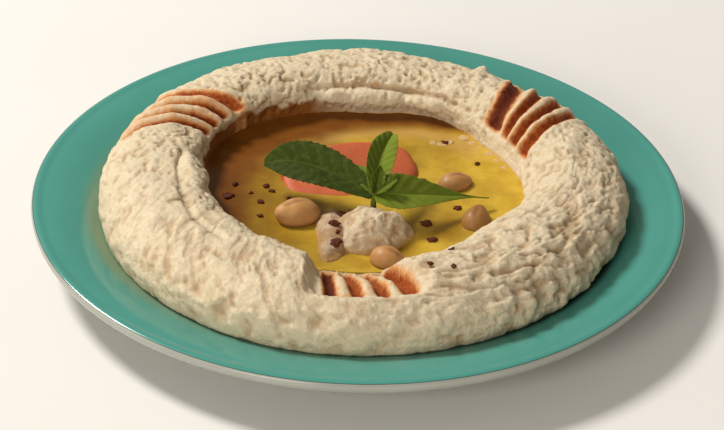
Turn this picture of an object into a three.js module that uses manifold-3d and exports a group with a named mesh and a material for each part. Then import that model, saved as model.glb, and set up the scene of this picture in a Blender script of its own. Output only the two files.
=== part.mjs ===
// A plate of hummus: a ring of hummus round a pool of olive oil, with a dollop, chickpeas,
// a tomato wedge, a mint sprig and dried pepper flakes in the pool.
// Millimetres, +Z up, -Y towards the eater, origin at the middle of the plate's underside.
import * as THREE from 'three';
import { mergeVertices } from 'three/addons/utils/BufferGeometryUtils.js';
import Module from 'manifold-3d';

const wasm = await Module();
wasm.setup();

// Driving dimensions: the plate
const GAP = 0.3;
const PLATE_THICKNESS = 3.4;
const PLATE_SEGMENTS = 60;
const WELL_RADIUS = 62;
const WELL_FLOOR = 4.2;
const WALL_END_RADIUS = 106;
const WALL_RISE = 12.8;
const FOOT_INNER_RADIUS = 50;
const FOOT_OUTER_RADIUS = 57;
const FOOT_HEIGHT = 0.8;
const ROLLED_EDGE = [[107.8, 17.5], [109.3, 17.2], [110, 16.2], [109.2, 13.9], [107.5, 12.6], [105.5, 12.9]];

// Driving dimensions: the ring of hummus and its pool
const CREST_RADIUS = 70;
const CREST_SHIFT_RIGHT = 1.25;
const CREST_SHIFT_NEAR = 0.95;
const CREST_HEIGHT = 31.3;
const CREST_DROP_FAR = 0.75;
const CREST_WANDER = [[0.5, 3, 1], [0.35, 7, 2]];
const HEIGHT_WANDER = [[0.35, 4, 0.6], [0.25, 9, 0]];
const POOL_WANDER = [[0.6, 5, 1]];
const OUTER_HALF_WIDTH = 18.7;
const CONTACT_RADIUS = 88;
const POOL_RADIUS = 54;
const POOL_SHIFT_RIGHT = 1.4;
const POOL_LEANS = [{ angle: 222, halfWidth: 50, depth: 3.5 }, { angle: 322, halfWidth: 42, depth: 3.5 }];
const POOL_BAYS = [{ angle: 130, halfWidth: 50, depth: 5 }, { angle: 62, halfWidth: 26, depth: 3.5 }];
const LIP_SHARE = 0.5;
const LIP_PHI = 146;
const LIP_HALF_PHI = 26;
const OUTER_SHOULDER = 2.1;
const INNER_SHOULDER = 2.1;
const FULLER_SHOULDERS = [
  { angle: 120, halfWidth: 110, depth: 0.6 },
  { angle: 225, halfWidth: 60, depth: 0.8 },
  { angle: 322, halfWidth: 48, depth: 0.9 },
  { angle: 350, halfWidth: 60, depth: -0.5 },
];
const POOL_FLOOR = 13.4;
const OIL_LEVEL = 16.5;
const LUMP_SIZE = 13;
const LUMP_HEIGHT = 0.9;
const RIPPLE_SIZE = 5;
const RIPPLE_HEIGHT = 0.45;
const LOBE = { angle: 189, halfAngle: 12, radius: 56.3, halfWidth: 4.4, height: 2.6 };
const CREASE = [[172, 59.2], [181, 59.7], [197, 61], [206, 63], [218, 66], [240, 67.6]];
const CREASE_DEPTH = 1.4;
const CREASE_HALF_WIDTH = 2;

// Driving dimensions: three stations of four grooves pressed across the ring, filled with paprika
const GROOVES = 4;
const GROOVE_PITCH = 6.3;
const GROOVE_HALF_WIDTH = 2.5;
const GROOVE_DEPTH = 2.2;
const GROOVE_FADE = 12;
const RIDGE_HEIGHT = 0.45;
const STATIONS = [
  { angle: 153, skew: 27, from: 22, to: 152, widest: 0, wide: 1.5 },
  { angle: 31.5, skew: 27, from: 30, to: 156, widest: 3, wide: 2.2 },
  { angle: 272.5, skew: 12, from: 66, to: 158, widest: 3, wide: 1.3 },
];
const SCOOP = { angle: 271.5, skew: 12, halfAngle: 13.5, soft: 2, pool: 47, rim: 27, radius: 72 };

// Driving dimensions: what stands in the pool
const DOLLOP = {
  x: 4.6, y: -26, halfX: 13, halfY: 10.8, top: 26.2, round: 3, rough: 1.1, columns: 20,
};
const DOLLOP_RIDGE = {
  x: -8, y: -25.5, halfX: 6, halfY: 16, top: 20.6, round: 2.6, rough: 0.2, columns: 14,
};
const CHICKPEAS = [
  { name: 'chickpea_left', x: -19.6, y: -15.8, z: 17.4, length: 15.6, width: 12, turn: 205, roll: 10 },
  { name: 'chickpea_far', x: 32.3, y: 8, z: 15.8, length: 11.5, width: 10.2, turn: 20, roll: 0 },
  { name: 'chickpea_right', x: 39.3, y: -15.5, z: 16.4, length: 11.5, width: 9.8, turn: 75, roll: 20 },
  { name: 'chickpea_near', x: 10, y: -41, z: 17, length: 11.8, width: 9.8, turn: 340, roll: -15 },
];
const CHICKPEA_BEAK = 0.17;
const CHICKPEA_FURROW = 0.06;
const TOMATO = {
  x: -3.3, y: 12.3, halfLength: 26, halfWidth: 13.6, turn: 17, near: 17, far: 22.6, bottom: 14.2,
};

// Driving dimensions: the mint sprig, whose leaves grow from the top of one stem in the dollop
const STEM = { x: 5, y: -17.5, radius: 1.3, bottom: 17.6, top: 28 };
const SPRIG = [STEM.x, STEM.y, STEM.top - 0.5];
const LEAF_THICKNESS = 0.7;
const LEAF_TOOTH = 0.13;
const LEAF_WAVE = 0.35;
const LEAVES = [
  {
    rib: [SPRIG, [-19.2, 0.6, 32.2], [-31.8, 2.9, 26.2]],
    halfWidth: 8.3, roll: -28, fold: 14, lead: 1, taper: 0.75, steps: 15,
  },
  {
    rib: [SPRIG, [5.2, -0.6, 31.7], [11, 9.5, 35]],
    halfWidth: 5.6, roll: 20, fold: 28, lead: 1.05, taper: 0.6, steps: 11,
  },
  {
    rib: [SPRIG, [21.5, -12.6, 25.4], [43.7, -5.4, 20]],
    halfWidth: 7.8, roll: 26, fold: 16, lead: 0.52, taper: 2, steps: 15,
  },
  {
    rib: [SPRIG, [0.5, -9, 31], [-1.2, -3, 29.5]],
    halfWidth: 2.8, roll: -20, fold: 15, lead: 0.95, taper: 0.8, steps: 5,
  },
  {
    rib: [SPRIG, [6, -14, 31], [7, -10, 34]],
    halfWidth: 2.8, roll: 30, fold: 25, lead: 0.95, taper: 0.8, steps: 5,
  },
  {
    rib: [SPRIG, [9.5, -16, 30.5], [12.5, -12.5, 31]],
    halfWidth: 2.6, roll: 10, fold: 20, lead: 0.95, taper: 0.8, steps: 5,
  },
];

// Driving dimensions: flakes of dried pepper, each as its place and its radius
const FLAKE_THICKNESS = 0.9;
const OIL_FLAKES = [
  [-43.9, -3.4, 2.3], [-41.9, 3.8, 1.2], [-36.2, -1.2, 0.9], [-31.4, 3.4, 1.3], [-29.4, 0.4, 1.2],
  [-32.6, -6.6, 1.4], [-23.5, -4.4, 1.1], [-32.5, -15.4, 1.2], [22.7, -17.3, 2.5], [24.6, -27, 1.9],
  [33.2, -7, 1.6], [21.4, 9.4, 1.8], [29.7, 35.8, 1.5], [45.3, -16.6, 1.6], [40.5, 22, 1.1],
];
const DOLLOP_FLAKES = [[-5.6, -18.4, 2.2], [-7.6, -25.4, 2], [-7, -34.8, 2.6], [-6.4, -29.6, 1.1]];
const RING_FLAKES = [[289.3, 92, 1.2], [294.5, 85, 1.1], [298.6, 114, 1.2]];

// Smoothly rises from 0 to 1 as x goes from a to b.
function smoothstep(a, b, x) {
  const t = Math.min(1, Math.max(0, (x - a) / (b - a)));
  return t * t * (3 - 2 * t);
}

function lerp(a, b, t) {
  return a + (b - a) * t;
}

function radians(degrees) {
  return degrees * Math.PI / 180;
}

// The signed difference of two angles in degrees, from -180 to 180.
function angleFrom(degrees, centre) {
  return ((degrees - centre + 540) % 360) - 180;
}

// A round bump that is 1 at the centre and 0 from halfWidth away.
function bump(distance, halfWidth) {
  const t = Math.min(1, Math.abs(distance) / halfWidth);
  return (1 - t * t) ** 2;
}

// A number from 0 to 1 that is always the same for the same grid corner.
function cornerValue(i, j, k) {
  const s = Math.sin(i * 127.1 + j * 311.7 + k * 74.7) * 43758.5453;
  return s - Math.floor(s);
}

// Smooth lumps from -1 to 1, about one lump to each size.
function lumps(x, y, z, size) {
  const [gx, gy, gz] = [x / size, y / size, z / size];
  const [i, j, k] = [Math.floor(gx), Math.floor(gy), Math.floor(gz)];
  const [u, v, w] = [smoothstep(0, 1, gx - i), smoothstep(0, 1, gy - j), smoothstep(0, 1, gz - k)];
  let sum = 0;
  for (const [di, wi] of [[0, 1 - u], [1, u]]) {
    for (const [dj, wj] of [[0, 1 - v], [1, v]]) {
      for (const [dk, wk] of [[0, 1 - w], [1, w]]) {
        sum += wi * wj * wk * cornerValue(i + di, j + dj, k + dk);
      }
    }
  }
  return 2 * sum - 1;
}

// A closed solid of rings of points between a top pole and a bottom pole.
// rings[i][j] goes anticlockwise with j, seen from above, and outwards then under with i.
function closedRings(topPole, rings, bottomPole) {
  const count = rings[0].length;
  const points = [topPole, ...rings.flat(), bottomPole];
  const at = (i, j) => 1 + i * count + (j % count);
  const triangles = [];
  for (let j = 0; j < count; j += 1) {
    triangles.push(0, at(0, j), at(0, j + 1));
    for (let i = 0; i < rings.length - 1; i += 1) {
      triangles.push(at(i, j), at(i + 1, j), at(i + 1, j + 1));
      triangles.push(at(i, j), at(i + 1, j + 1), at(i, j + 1));
    }
    triangles.push(at(rings.length - 1, j), points.length - 1, at(rings.length - 1, j + 1));
  }
  return fromLists(points.flat(), triangles);
}

function fromLists(coordinates, triangles) {
  const geometry = new THREE.BufferGeometry();
  geometry.setAttribute('position', new THREE.Float32BufferAttribute(coordinates, 3));
  geometry.setIndex(triangles);
  return geometry;
}

// Turns a closed mesh into a solid that can be joined and cut.
function toSolid(geometry) {
  const bare = geometry.clone();
  bare.deleteAttribute('normal');
  bare.deleteAttribute('uv');
  const merged = mergeVertices(bare, 1e-4);
  return new wasm.Manifold(new wasm.Mesh({
    numProp: 3,
    vertProperties: new Float32Array(merged.attributes.position.array),
    triVerts: new Uint32Array(merged.index.array),
  }));
}

function toGeometry(solid) {
  const mesh = solid.getMesh();
  return fromLists(Array.from(mesh.vertProperties), Array.from(mesh.triVerts));
}

// The height of the plate's upper face at a radius: a flat well and a rising S-shaped wall.
function plateTop(radius) {
  return WELL_FLOOR + WALL_RISE * smoothstep(WELL_RADIUS, WALL_END_RADIUS, radius);
}

function plateUnder(radius) {
  return Math.max(FOOT_HEIGHT, plateTop(radius) - PLATE_THICKNESS);
}

// Radii that the plate and the underside of the hummus share, so that their facets stay apart.
const SEAT_RADII = [WELL_RADIUS, 70, 79, CONTACT_RADIUS];

function plateGeometry() {
  const upper = [...SEAT_RADII, 94, 100, 105].map((r) => [r, plateTop(r)]);
  const under = [100, 88, 76, 64].map((r) => [r, plateUnder(r)]);
  const foot = [
    [FOOT_OUTER_RADIUS + 1, FOOT_HEIGHT],
    [FOOT_OUTER_RADIUS, 0],
    [FOOT_INNER_RADIUS, 0],
    [FOOT_INNER_RADIUS - 1, FOOT_HEIGHT],
  ];
  const outline = [[0, WELL_FLOOR], ...upper, ...ROLLED_EDGE, ...under, ...foot, [0, FOOT_HEIGHT]];
  const profile = outline.reverse().map(([r, z]) => new THREE.Vector2(r, z));
  const lathe = new THREE.LatheGeometry(profile, PLATE_SEGMENTS);
  lathe.rotateX(Math.PI / 2);
  return toGeometry(toSolid(lathe));
}

// The sum of some waves round the ring, each as its height, its count and its shift.
function wander(theta, waves) {
  const t = radians(theta);
  return waves.reduce((sum, [height, count, shift]) => sum + height * Math.sin(count * t + shift), 0);
}

// Where the ring's crest runs, seen from above.
function crestRadius(theta) {
  const t = radians(theta);
  const shift = CREST_SHIFT_RIGHT * Math.cos(t) - CREST_SHIFT_NEAR * Math.sin(t);
  return CREST_RADIUS + shift + wander(theta, CREST_WANDER);
}

function crestHeight(theta) {
  return CREST_HEIGHT - CREST_DROP_FAR * Math.sin(radians(theta)) + wander(theta, HEIGHT_WANDER);
}

// How far the scoop at the near station has been pressed in at this angle, 0 to 1.
function scoopDepth(theta, radius) {
  const lean = skewAngle(radius, SCOOP.skew);
  const away = angleFrom(theta, SCOOP.angle + lean);
  return 1 - smoothstep(SCOOP.halfAngle - SCOOP.soft, SCOOP.halfAngle + SCOOP.soft, Math.abs(away));
}

// The edge of the pool, where the inner wall of the ring meets the oil.
function poolRadius(theta) {
  const shift = POOL_SHIFT_RIGHT * Math.cos(radians(theta)) + wander(theta, POOL_WANDER);
  const edge = POOL_RADIUS + shift + swell(theta, POOL_BAYS) - swell(theta, POOL_LEANS);
  return lerp(edge, SCOOP.pool, scoopDepth(theta, POOL_RADIUS));
}

// The sum of some bumps round the ring.
function swell(theta, bumps) {
  return bumps.reduce((sum, { angle, halfWidth, depth }) => (
    sum + depth * bump(angleFrom(theta, angle), halfWidth)), 0);
}

// How square the inner shoulder is: steep and full at the far left, a gentle slope at the right.
function shoulder(theta) {
  return INNER_SHOULDER + swell(theta, FULLER_SHOULDERS);
}

// The turn in degrees that a skewed groove has made at a radius, against its place on the crest.
function skewAngle(radius, skew) {
  const run = (radius - CREST_RADIUS) / CREST_RADIUS;
  return run * Math.tan(radians(skew)) * 180 / Math.PI;
}

// How far the surface sinks in the pressed grooves, with the ridges between them standing up.
function grooveDepth(theta, phi, radius) {
  let depth = 0;
  for (const station of STATIONS) {
    const lean = skewAngle(radius, station.skew);
    const along = smoothstep(station.from, station.from + GROOVE_FADE, phi)
      * (1 - smoothstep(station.to - GROOVE_FADE, station.to, phi));
    for (let i = 0; i < GROOVES; i += 1) {
      const place = station.angle + (i - (GROOVES - 1) / 2) * GROOVE_PITCH + lean;
      const across = radians(angleFrom(theta, place)) * radius * Math.cos(radians(station.skew));
      const wide = i === station.widest ? station.wide : 1;
      depth += along * GROOVE_DEPTH * bump(across, GROOVE_HALF_WIDTH * wide);
      const ridge = Math.abs(across) - radius * radians(GROOVE_PITCH) / 2;
      depth -= along * RIDGE_HEIGHT * bump(ridge, GROOVE_HALF_WIDTH);
    }
  }
  return depth;
}

// The radius of the crease that runs along the near left of the pool, or 0 beyond its ends.
function creaseRadius(theta) {
  for (let i = 0; i < CREASE.length - 1; i += 1) {
    const [[a, ra], [b, rb]] = [CREASE[i], CREASE[i + 1]];
    if (theta >= a && theta < b) return lerp(ra, rb, (theta - a) / (b - a));
  }
  return 0;
}

// The relief on the inner side at the left: an oval lobe over the pool and the crease behind it.
function lobeAndCrease(theta, radius) {
  const along = angleFrom(theta, LOBE.angle) / LOBE.halfAngle;
  const lobe = Math.max(0, 1 - Math.hypot(along, (radius - LOBE.radius) / LOBE.halfWidth) ** 2);
  const ends = smoothstep(CREASE[0][0], CREASE[1][0], theta)
    * (1 - smoothstep(CREASE.at(-2)[0], CREASE.at(-1)[0], theta));
  const crease = ends * CREASE_DEPTH * bump(radius - creaseRadius(theta), CREASE_HALF_WIDTH);
  return LOBE.height * Math.sqrt(lobe) - crease;
}

// A point on the ring's skin: theta goes round the plate, phi from the outer side over the crest.
function ringPoint(theta, phi) {
  const t = radians(theta);
  const inner = phi > 90;
  const crest = crestRadius(theta);
  const width = inner ? crest - poolRadius(theta) : OUTER_HALF_WIDTH;
  const power = 2 / (inner ? shoulder(theta) : OUTER_SHOULDER);
  const [c, s] = [Math.cos(radians(phi)), Math.sin(radians(phi))];
  const lip = LIP_SHARE * swell(theta, POOL_BAYS) * bump(phi - LIP_PHI, LIP_HALF_PHI);
  let radius = crest + Math.sign(c) * width * Math.abs(c) ** power - lip;
  const section = OIL_LEVEL + (crestHeight(theta) - OIL_LEVEL) * Math.abs(s) ** power;
  const ramp = lerp(OIL_LEVEL, SCOOP.rim, smoothstep(SCOOP.pool, SCOOP.radius, radius));
  const pressed = scoopDepth(theta, radius) * smoothstep(55, 75, phi);
  let z = lerp(section, Math.min(section, ramp), pressed);
  const [x, y] = [radius * Math.cos(t), radius * Math.sin(t)];
  const fade = smoothstep(0, 25, phi) * (1 - smoothstep(160, 180, phi));
  const waves = LUMP_HEIGHT * lumps(x, y, z, LUMP_SIZE) + RIPPLE_HEIGHT * lumps(x, y, z, RIPPLE_SIZE);
  const leftSide = inner ? lobeAndCrease(theta, radius) : 0;
  const relief = fade * (waves + leftSide) - grooveDepth(theta, phi, radius);
  radius += relief * c;
  z += relief * s;
  return [radius * Math.cos(t), radius * Math.sin(t), z];
}

// Angles round the ring: close together in the stations, less so at the lobe and wide elsewhere.
function ringAngles() {
  const [fine, middling, coarse] = [1.5, 2.6, 5.2];
  const stationReach = 19.5;
  const angles = [];
  for (let theta = 0; theta < 360 - fine;) {
    angles.push(theta);
    const atStation = STATIONS.some((station) => Math.abs(angleFrom(theta, station.angle)) < stationReach);
    const atLobe = Math.abs(angleFrom(theta, LOBE.angle)) < LOBE.halfAngle + middling;
    const aside = atLobe ? middling : coarse;
    theta += atStation ? fine : aside;
  }
  return angles;
}

function polar(radius, theta, z) {
  return [radius * Math.cos(radians(theta)), radius * Math.sin(radians(theta)), z];
}

const RING_ANGLES = ringAngles();
const POOL_WALL_RUN = 0.8;

function hummusGeometry() {
  const loop = (pointAt) => RING_ANGLES.map(pointAt);
  const rings = [loop((theta) => polar(poolRadius(theta) - POOL_WALL_RUN, theta, POOL_FLOOR))];
  const steps = [180, 166, 154, 144, 134, 125, 116, 107, 98, 89, 80, 71, 62, 52, 42, 30, 16, 0];
  for (const phi of steps) {
    rings.push(loop((theta) => ringPoint(theta, phi)));
  }
  for (const radius of [...SEAT_RADII].reverse()) {
    rings.push(loop((theta) => polar(radius, theta, plateTop(radius) + GAP)));
  }
  return closedRings([0, 0, POOL_FLOOR], rings, [0, 0, WELL_FLOOR + GAP]);
}

// The pool of oil, a little clear of the hummus on all sides.
function oilGeometry() {
  const clear = 1.5 * GAP;
  const top = RING_ANGLES.map((theta) => polar(poolRadius(theta) - clear, theta, OIL_LEVEL));
  const low = RING_ANGLES.map((theta) => (
    polar(poolRadius(theta) - POOL_WALL_RUN - clear, theta, POOL_FLOOR + GAP)));
  return closedRings([0, 0, OIL_LEVEL], [top, low], [0, 0, POOL_FLOOR + GAP]);
}

// The height of a mound above the oil, from 1 at its middle to 0 at its edge.
function moundRise(place, u) {
  return (1 - u ** place.round) * (place.top - OIL_LEVEL);
}

// A mound of hummus with an uneven outline, standing on the floor of the pool.
function moundGeometry(place, grow) {
  const columns = place.columns;
  const floor = POOL_FLOOR + GAP;
  const rings = [0.18, 0.4, 0.6, 0.78, 0.92, 1].map((u) => Array.from({ length: columns }, (_, j) => {
    const theta = 360 * j / columns;
    const lobes = 1 + 0.09 * Math.sin(radians(3 * theta + 40)) + 0.05 * Math.sin(radians(5 * theta));
    const x = place.x + (place.halfX * lobes + grow) * u * Math.cos(radians(theta));
    const y = place.y + (place.halfY * lobes + grow) * u * Math.sin(radians(theta));
    const rough = place.rough * lumps(x, y, 0, 4.5) * (1 - u ** 4);
    return [x, y, OIL_LEVEL + moundRise(place, u) + rough + grow];
  }));
  rings.push(rings.at(-1).map(([x, y]) => [x, y, floor]));
  return closedRings([place.x, place.y, place.top + grow], rings, [place.x, place.y, floor]);
}

// The dollop: a rough mound with a smooth low ridge along its left side.
function dollopSolid(grow) {
  return toSolid(moundGeometry(DOLLOP, grow)).add(toSolid(moundGeometry(DOLLOP_RIDGE, grow)));
}

// A chickpea: an oval seed with a beak at one end and a furrow running back from it.
function chickpeaGeometry(pea, grow) {
  const [columns, rows] = [13, 7];
  const turn = new THREE.Euler(0, -radians(pea.roll), radians(pea.turn), 'ZYX');
  const beak = new THREE.Vector3(1, 0, 0.35).normalize();
  const pointAt = (theta, lift) => {
    const d = new THREE.Vector3(
      Math.cos(radians(lift)) * Math.cos(radians(theta)),
      Math.cos(radians(lift)) * Math.sin(radians(theta)),
      Math.sin(radians(lift)));
    const toBeak = d.angleTo(beak) * 180 / Math.PI;
    const furrow = bump(d.y, 0.3) * smoothstep(15, 35, toBeak) * (1 - smoothstep(60, 100, toBeak));
    const size = 1 + CHICKPEA_BEAK * bump(toBeak, 42) - CHICKPEA_FURROW * furrow;
    const half = new THREE.Vector3(pea.length / 2, pea.width / 2, pea.width / 2).addScalar(grow);
    d.multiplyScalar(size).multiply(half).applyEuler(turn);
    return [pea.x + d.x, pea.y + d.y, pea.z + d.z];
  };
  const rings = Array.from({ length: rows - 1 }, (_, i) => (
    Array.from({ length: columns }, (_, j) => pointAt(360 * j / columns, 90 - 180 * (i + 1) / rows))));
  return closedRings(pointAt(0, 90), rings, pointAt(0, -90));
}

// A tomato wedge on its side: a cut face that leans towards the eater and a round skin behind.
function tomatoGeometry(grow) {
  const columns = 26;
  const steps = [[0.5, 0], [0.86, 0.2], [0.96, 0.9], [1, 2.4]];
  const tilt = radians(TOMATO.turn);
  const pointAt = (u, drop, theta) => {
    const t = radians(theta);
    const pointed = 1 - 0.1 * Math.cos(2 * t) ** 2;
    const along = (TOMATO.halfLength * pointed + grow) * u * Math.cos(t);
    const across = (TOMATO.halfWidth + grow) * u * Math.sin(t);
    const x = TOMATO.x + along * Math.cos(tilt) - across * Math.sin(tilt);
    const y = TOMATO.y + along * Math.sin(tilt) + across * Math.cos(tilt);
    const lean = lerp(TOMATO.near, TOMATO.far, 0.5 + 0.5 * across / TOMATO.halfWidth);
    return [x, y, Math.max(OIL_LEVEL, lean - drop) + grow];
  };
  const rings = steps.map(([u, drop]) => (
    Array.from({ length: columns }, (_, j) => pointAt(u, drop, 360 * j / columns))));
  rings.push(rings.at(-1).map(([x, y]) => [x, y, TOMATO.bottom]));
  return closedRings(pointAt(0, -0.4, 0), rings, [TOMATO.x, TOMATO.y, TOMATO.bottom]);
}

// A mint leaf: a thin blade, folded a little along its midrib, with saw teeth and small waves.
function leafGeometry(leaf) {
  const rib = new THREE.QuadraticBezierCurve3(...leaf.rib.map((point) => new THREE.Vector3(...point)));
  const across = [-1, -0.55, 0, 0.55, 1];
  const faces = [];
  for (const side of [1, -1]) {
    const face = [];
    for (let i = 0; i <= leaf.steps; i += 1) {
      const t = i / leaf.steps;
      const ahead = rib.getTangent(t);
      const level = new THREE.Vector3(0, 0, 1).cross(ahead).normalize();
      const flat = level.applyAxisAngle(ahead, radians(leaf.roll));
      const up = ahead.clone().cross(flat).normalize();
      const tooth = i % 2 === 0 ? 1 - LEAF_TOOTH : 1;
      const half = leaf.halfWidth * Math.sin(Math.PI * (0.06 + 0.9 * t) ** leaf.lead) ** leaf.taper * tooth;
      face.push(across.map((s) => {
        const wave = LEAF_WAVE * Math.sin(9 * t + 2 * s + leaf.roll) * Math.abs(s);
        const lift = Math.abs(s) * half * Math.sin(radians(leaf.fold)) + wave + side * LEAF_THICKNESS / 2;
        const out = s * half * Math.cos(radians(leaf.fold));
        return rib.getPoint(t).addScaledVector(flat, out).addScaledVector(up, lift).toArray();
      }));
    }
    faces.push(face);
  }
  return closedSheet(faces[0], faces[1]);
}

// A closed sheet of two grids of points, its two faces split into triangles alike.
function closedSheet(top, under) {
  const [rows, columns] = [top.length, top[0].length];
  const upper = (i, j) => i * columns + j;
  const lower = (i, j) => rows * columns + upper(i, j);
  const triangles = [];
  const quad = (a, b, c, d) => triangles.push(a, b, c, a, c, d);
  for (let i = 0; i < rows - 1; i += 1) {
    for (let j = 0; j < columns - 1; j += 1) {
      quad(upper(i, j), upper(i + 1, j), upper(i + 1, j + 1), upper(i, j + 1));
      triangles.push(lower(i, j), lower(i + 1, j + 1), lower(i + 1, j));
      triangles.push(lower(i, j), lower(i, j + 1), lower(i + 1, j + 1));
    }
    quad(upper(i, 0), lower(i, 0), lower(i + 1, 0), upper(i + 1, 0));
    const j = columns - 1;
    quad(upper(i, j), upper(i + 1, j), lower(i + 1, j), lower(i, j));
  }
  for (let j = 0; j < columns - 1; j += 1) {
    quad(upper(0, j), upper(0, j + 1), lower(0, j + 1), lower(0, j));
    const i = rows - 1;
    quad(upper(i, j), lower(i, j), lower(i, j + 1), upper(i, j + 1));
  }
  return fromLists([...top, ...under].flat(2), triangles);
}

function stemGeometry(grow) {
  const height = STEM.top - STEM.bottom;
  const stem = new THREE.CylinderGeometry(STEM.radius + grow, STEM.radius + grow, height, 8);
  stem.rotateX(Math.PI / 2);
  stem.translate(STEM.x, STEM.y, STEM.bottom + height / 2 - grow);
  return stem;
}

function mintSolid() {
  return LEAVES.reduce((sprig, leaf) => sprig.add(toSolid(leafGeometry(leaf))), toSolid(stemGeometry(0)));
}

// A flake of dried pepper: a flat chip with an uneven outline, lying in the plane across up.
function flakeSolid(place, radius, up, seed) {
  const sides = 6;
  const shape = new THREE.Shape();
  for (let i = 0; i < sides; i += 1) {
    const reach = radius * lerp(0.65, 1.1, cornerValue(seed, i, 5));
    const turn = 2 * Math.PI * (i + 0.5 * cornerValue(seed, i, 9)) / sides;
    shape[i === 0 ? 'moveTo' : 'lineTo'](reach * Math.cos(turn), reach * Math.sin(turn));
  }
  const chip = new THREE.ExtrudeGeometry(shape, { depth: FLAKE_THICKNESS, bevelEnabled: false });
  chip.translate(0, 0, -FLAKE_THICKNESS / 2);
  chip.applyQuaternion(new THREE.Quaternion().setFromUnitVectors(new THREE.Vector3(0, 0, 1), up));
  chip.translate(...place);
  return toSolid(chip);
}

const UP = new THREE.Vector3(0, 0, 1);

function oilFlakes() {
  return OIL_FLAKES.map(([x, y, radius], i) => flakeSolid([x, y, OIL_LEVEL], radius, UP, i));
}

function dollopFlakes() {
  return DOLLOP_FLAKES.map(([x, y, radius], i) => {
    const along = (x - DOLLOP_RIDGE.x) / DOLLOP_RIDGE.halfX;
    const u = Math.hypot(along, (y - DOLLOP_RIDGE.y) / DOLLOP_RIDGE.halfY);
    return flakeSolid([x, y, OIL_LEVEL + moundRise(DOLLOP_RIDGE, u)], radius, UP, 20 + i);
  });
}

function ringFlakes() {
  return RING_FLAKES.map(([theta, phi, radius], i) => {
    const place = new THREE.Vector3(...ringPoint(theta, phi));
    const middle = new THREE.Vector3(...polar(crestRadius(theta), theta, OIL_LEVEL));
    return flakeSolid(place.toArray(), radius, place.clone().sub(middle).normalize(), 30 + i);
  });
}

function joined(body, pieces) {
  return pieces.reduce((sum, piece) => sum.add(piece), body);
}

function cutRound(body, pieces) {
  return pieces.reduce((rest, piece) => rest.subtract(piece), body);
}

// The largest of the pieces that a cut has left, without the crumbs.
function largest(solid) {
  return solid.decompose().reduce((best, piece) => (piece.volume() > best.volume() ? piece : best));
}

function mesh(name, geometry, colour, roughness) {
  const material = new THREE.MeshStandardMaterial({ color: colour, roughness, metalness: 0 });
  const result = new THREE.Mesh(geometry, material);
  result.name = name;
  return result;
}

const grownPeas = CHICKPEAS.map((pea) => toSolid(chickpeaGeometry(pea, GAP)));
const grownStem = toSolid(stemGeometry(GAP));
const grownTomato = toSolid(tomatoGeometry(GAP));
const hummus = cutRound(joined(toSolid(hummusGeometry()), ringFlakes()), grownPeas);
const dollop = cutRound(joined(dollopSolid(0), dollopFlakes()), [...grownPeas, grownStem]);
const oilCutters = [dollopSolid(GAP), grownTomato, ...grownPeas];
const oil = cutRound(joined(toSolid(oilGeometry()), oilFlakes()), oilCutters);

const plateful = new THREE.Group();
plateful.add(mesh('plate', plateGeometry(), 0x4fa08c, 0.25));
plateful.add(mesh('hummus', toGeometry(largest(hummus)), 0xe0cfa6, 0.85));
plateful.add(mesh('oil', toGeometry(largest(oil)), 0xb08a2e, 0.1));
plateful.add(mesh('dollop', toGeometry(largest(dollop)), 0xd9c7a0, 0.8));
plateful.add(mesh('tomato_wedge', tomatoGeometry(0), 0xbe5f3c, 0.4));
plateful.add(mesh('mint_sprig', toGeometry(mintSolid()), 0x44702c, 0.5));
for (const pea of CHICKPEAS) {
  plateful.add(mesh(pea.name, chickpeaGeometry(pea, 0), 0xb98a58, 0.6));
}

export default plateful;
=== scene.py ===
"""The looks of a plate of hummus, in the frame of its CAD part.

Lengths in the constants are millimetres, as in the part, and MM turns them into Blender's metres.
Angles are degrees. Theta goes anticlockwise round the plate from the eater's right, and phi goes
over the ring of hummus, from its outer side at 0 over the crest at 90 to the pool at 180.
"""

import math

import bpy
import numpy as np
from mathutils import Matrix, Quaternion, Vector


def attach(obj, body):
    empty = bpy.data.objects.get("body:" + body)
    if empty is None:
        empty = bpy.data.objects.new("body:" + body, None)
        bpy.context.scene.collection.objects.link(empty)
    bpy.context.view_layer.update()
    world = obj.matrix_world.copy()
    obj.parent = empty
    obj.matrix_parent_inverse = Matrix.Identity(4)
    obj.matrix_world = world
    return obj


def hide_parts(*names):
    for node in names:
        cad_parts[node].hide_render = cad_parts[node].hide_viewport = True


MM = 0.001

# The plate
PLATE_THICKNESS = 3.4
FLOOR_RADII = [20, 40, 56]
WELL_RADIUS = 62
WELL_FLOOR = 4.2
WALL_END_RADIUS = 106
WALL_RISE = 12.8
WALL_ROWS = 34
UNDERSIDE_END_RADIUS = 100
UNDERSIDE_ROWS = 20
FOOT_INNER_RADIUS = 50
FOOT_OUTER_RADIUS = 57
FOOT_HEIGHT = 0.8
FOOT_STEPS = [(1, FOOT_HEIGHT), (0.2, 0.3), (-0.4, 0)]
ROLLED_EDGE = [(107.8, 17.5), (109.3, 17.2), (110, 16.2), (109.2, 13.9), (107.5, 12.6), (105.5, 12.9)]
WHITE_RADIUS = 109.2
WHITE_BLEND = 0.25
WHITE_LEVEL = 16.9
PLATE_SEGMENTS = 288

# On the plate at the ring's foot, a painted reflection of the hummus at the left and a painted shade line at
# the near right: angle, half width and strength
PAINTED_REFLECTION_AT_FOOT = (198, 62, 0.7)
PAINTED_REFLECTION_REACH = 6
SHADE_AT_FOOT = (330, 72, 0.95)
SHADE_REACH = 3.2

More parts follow.
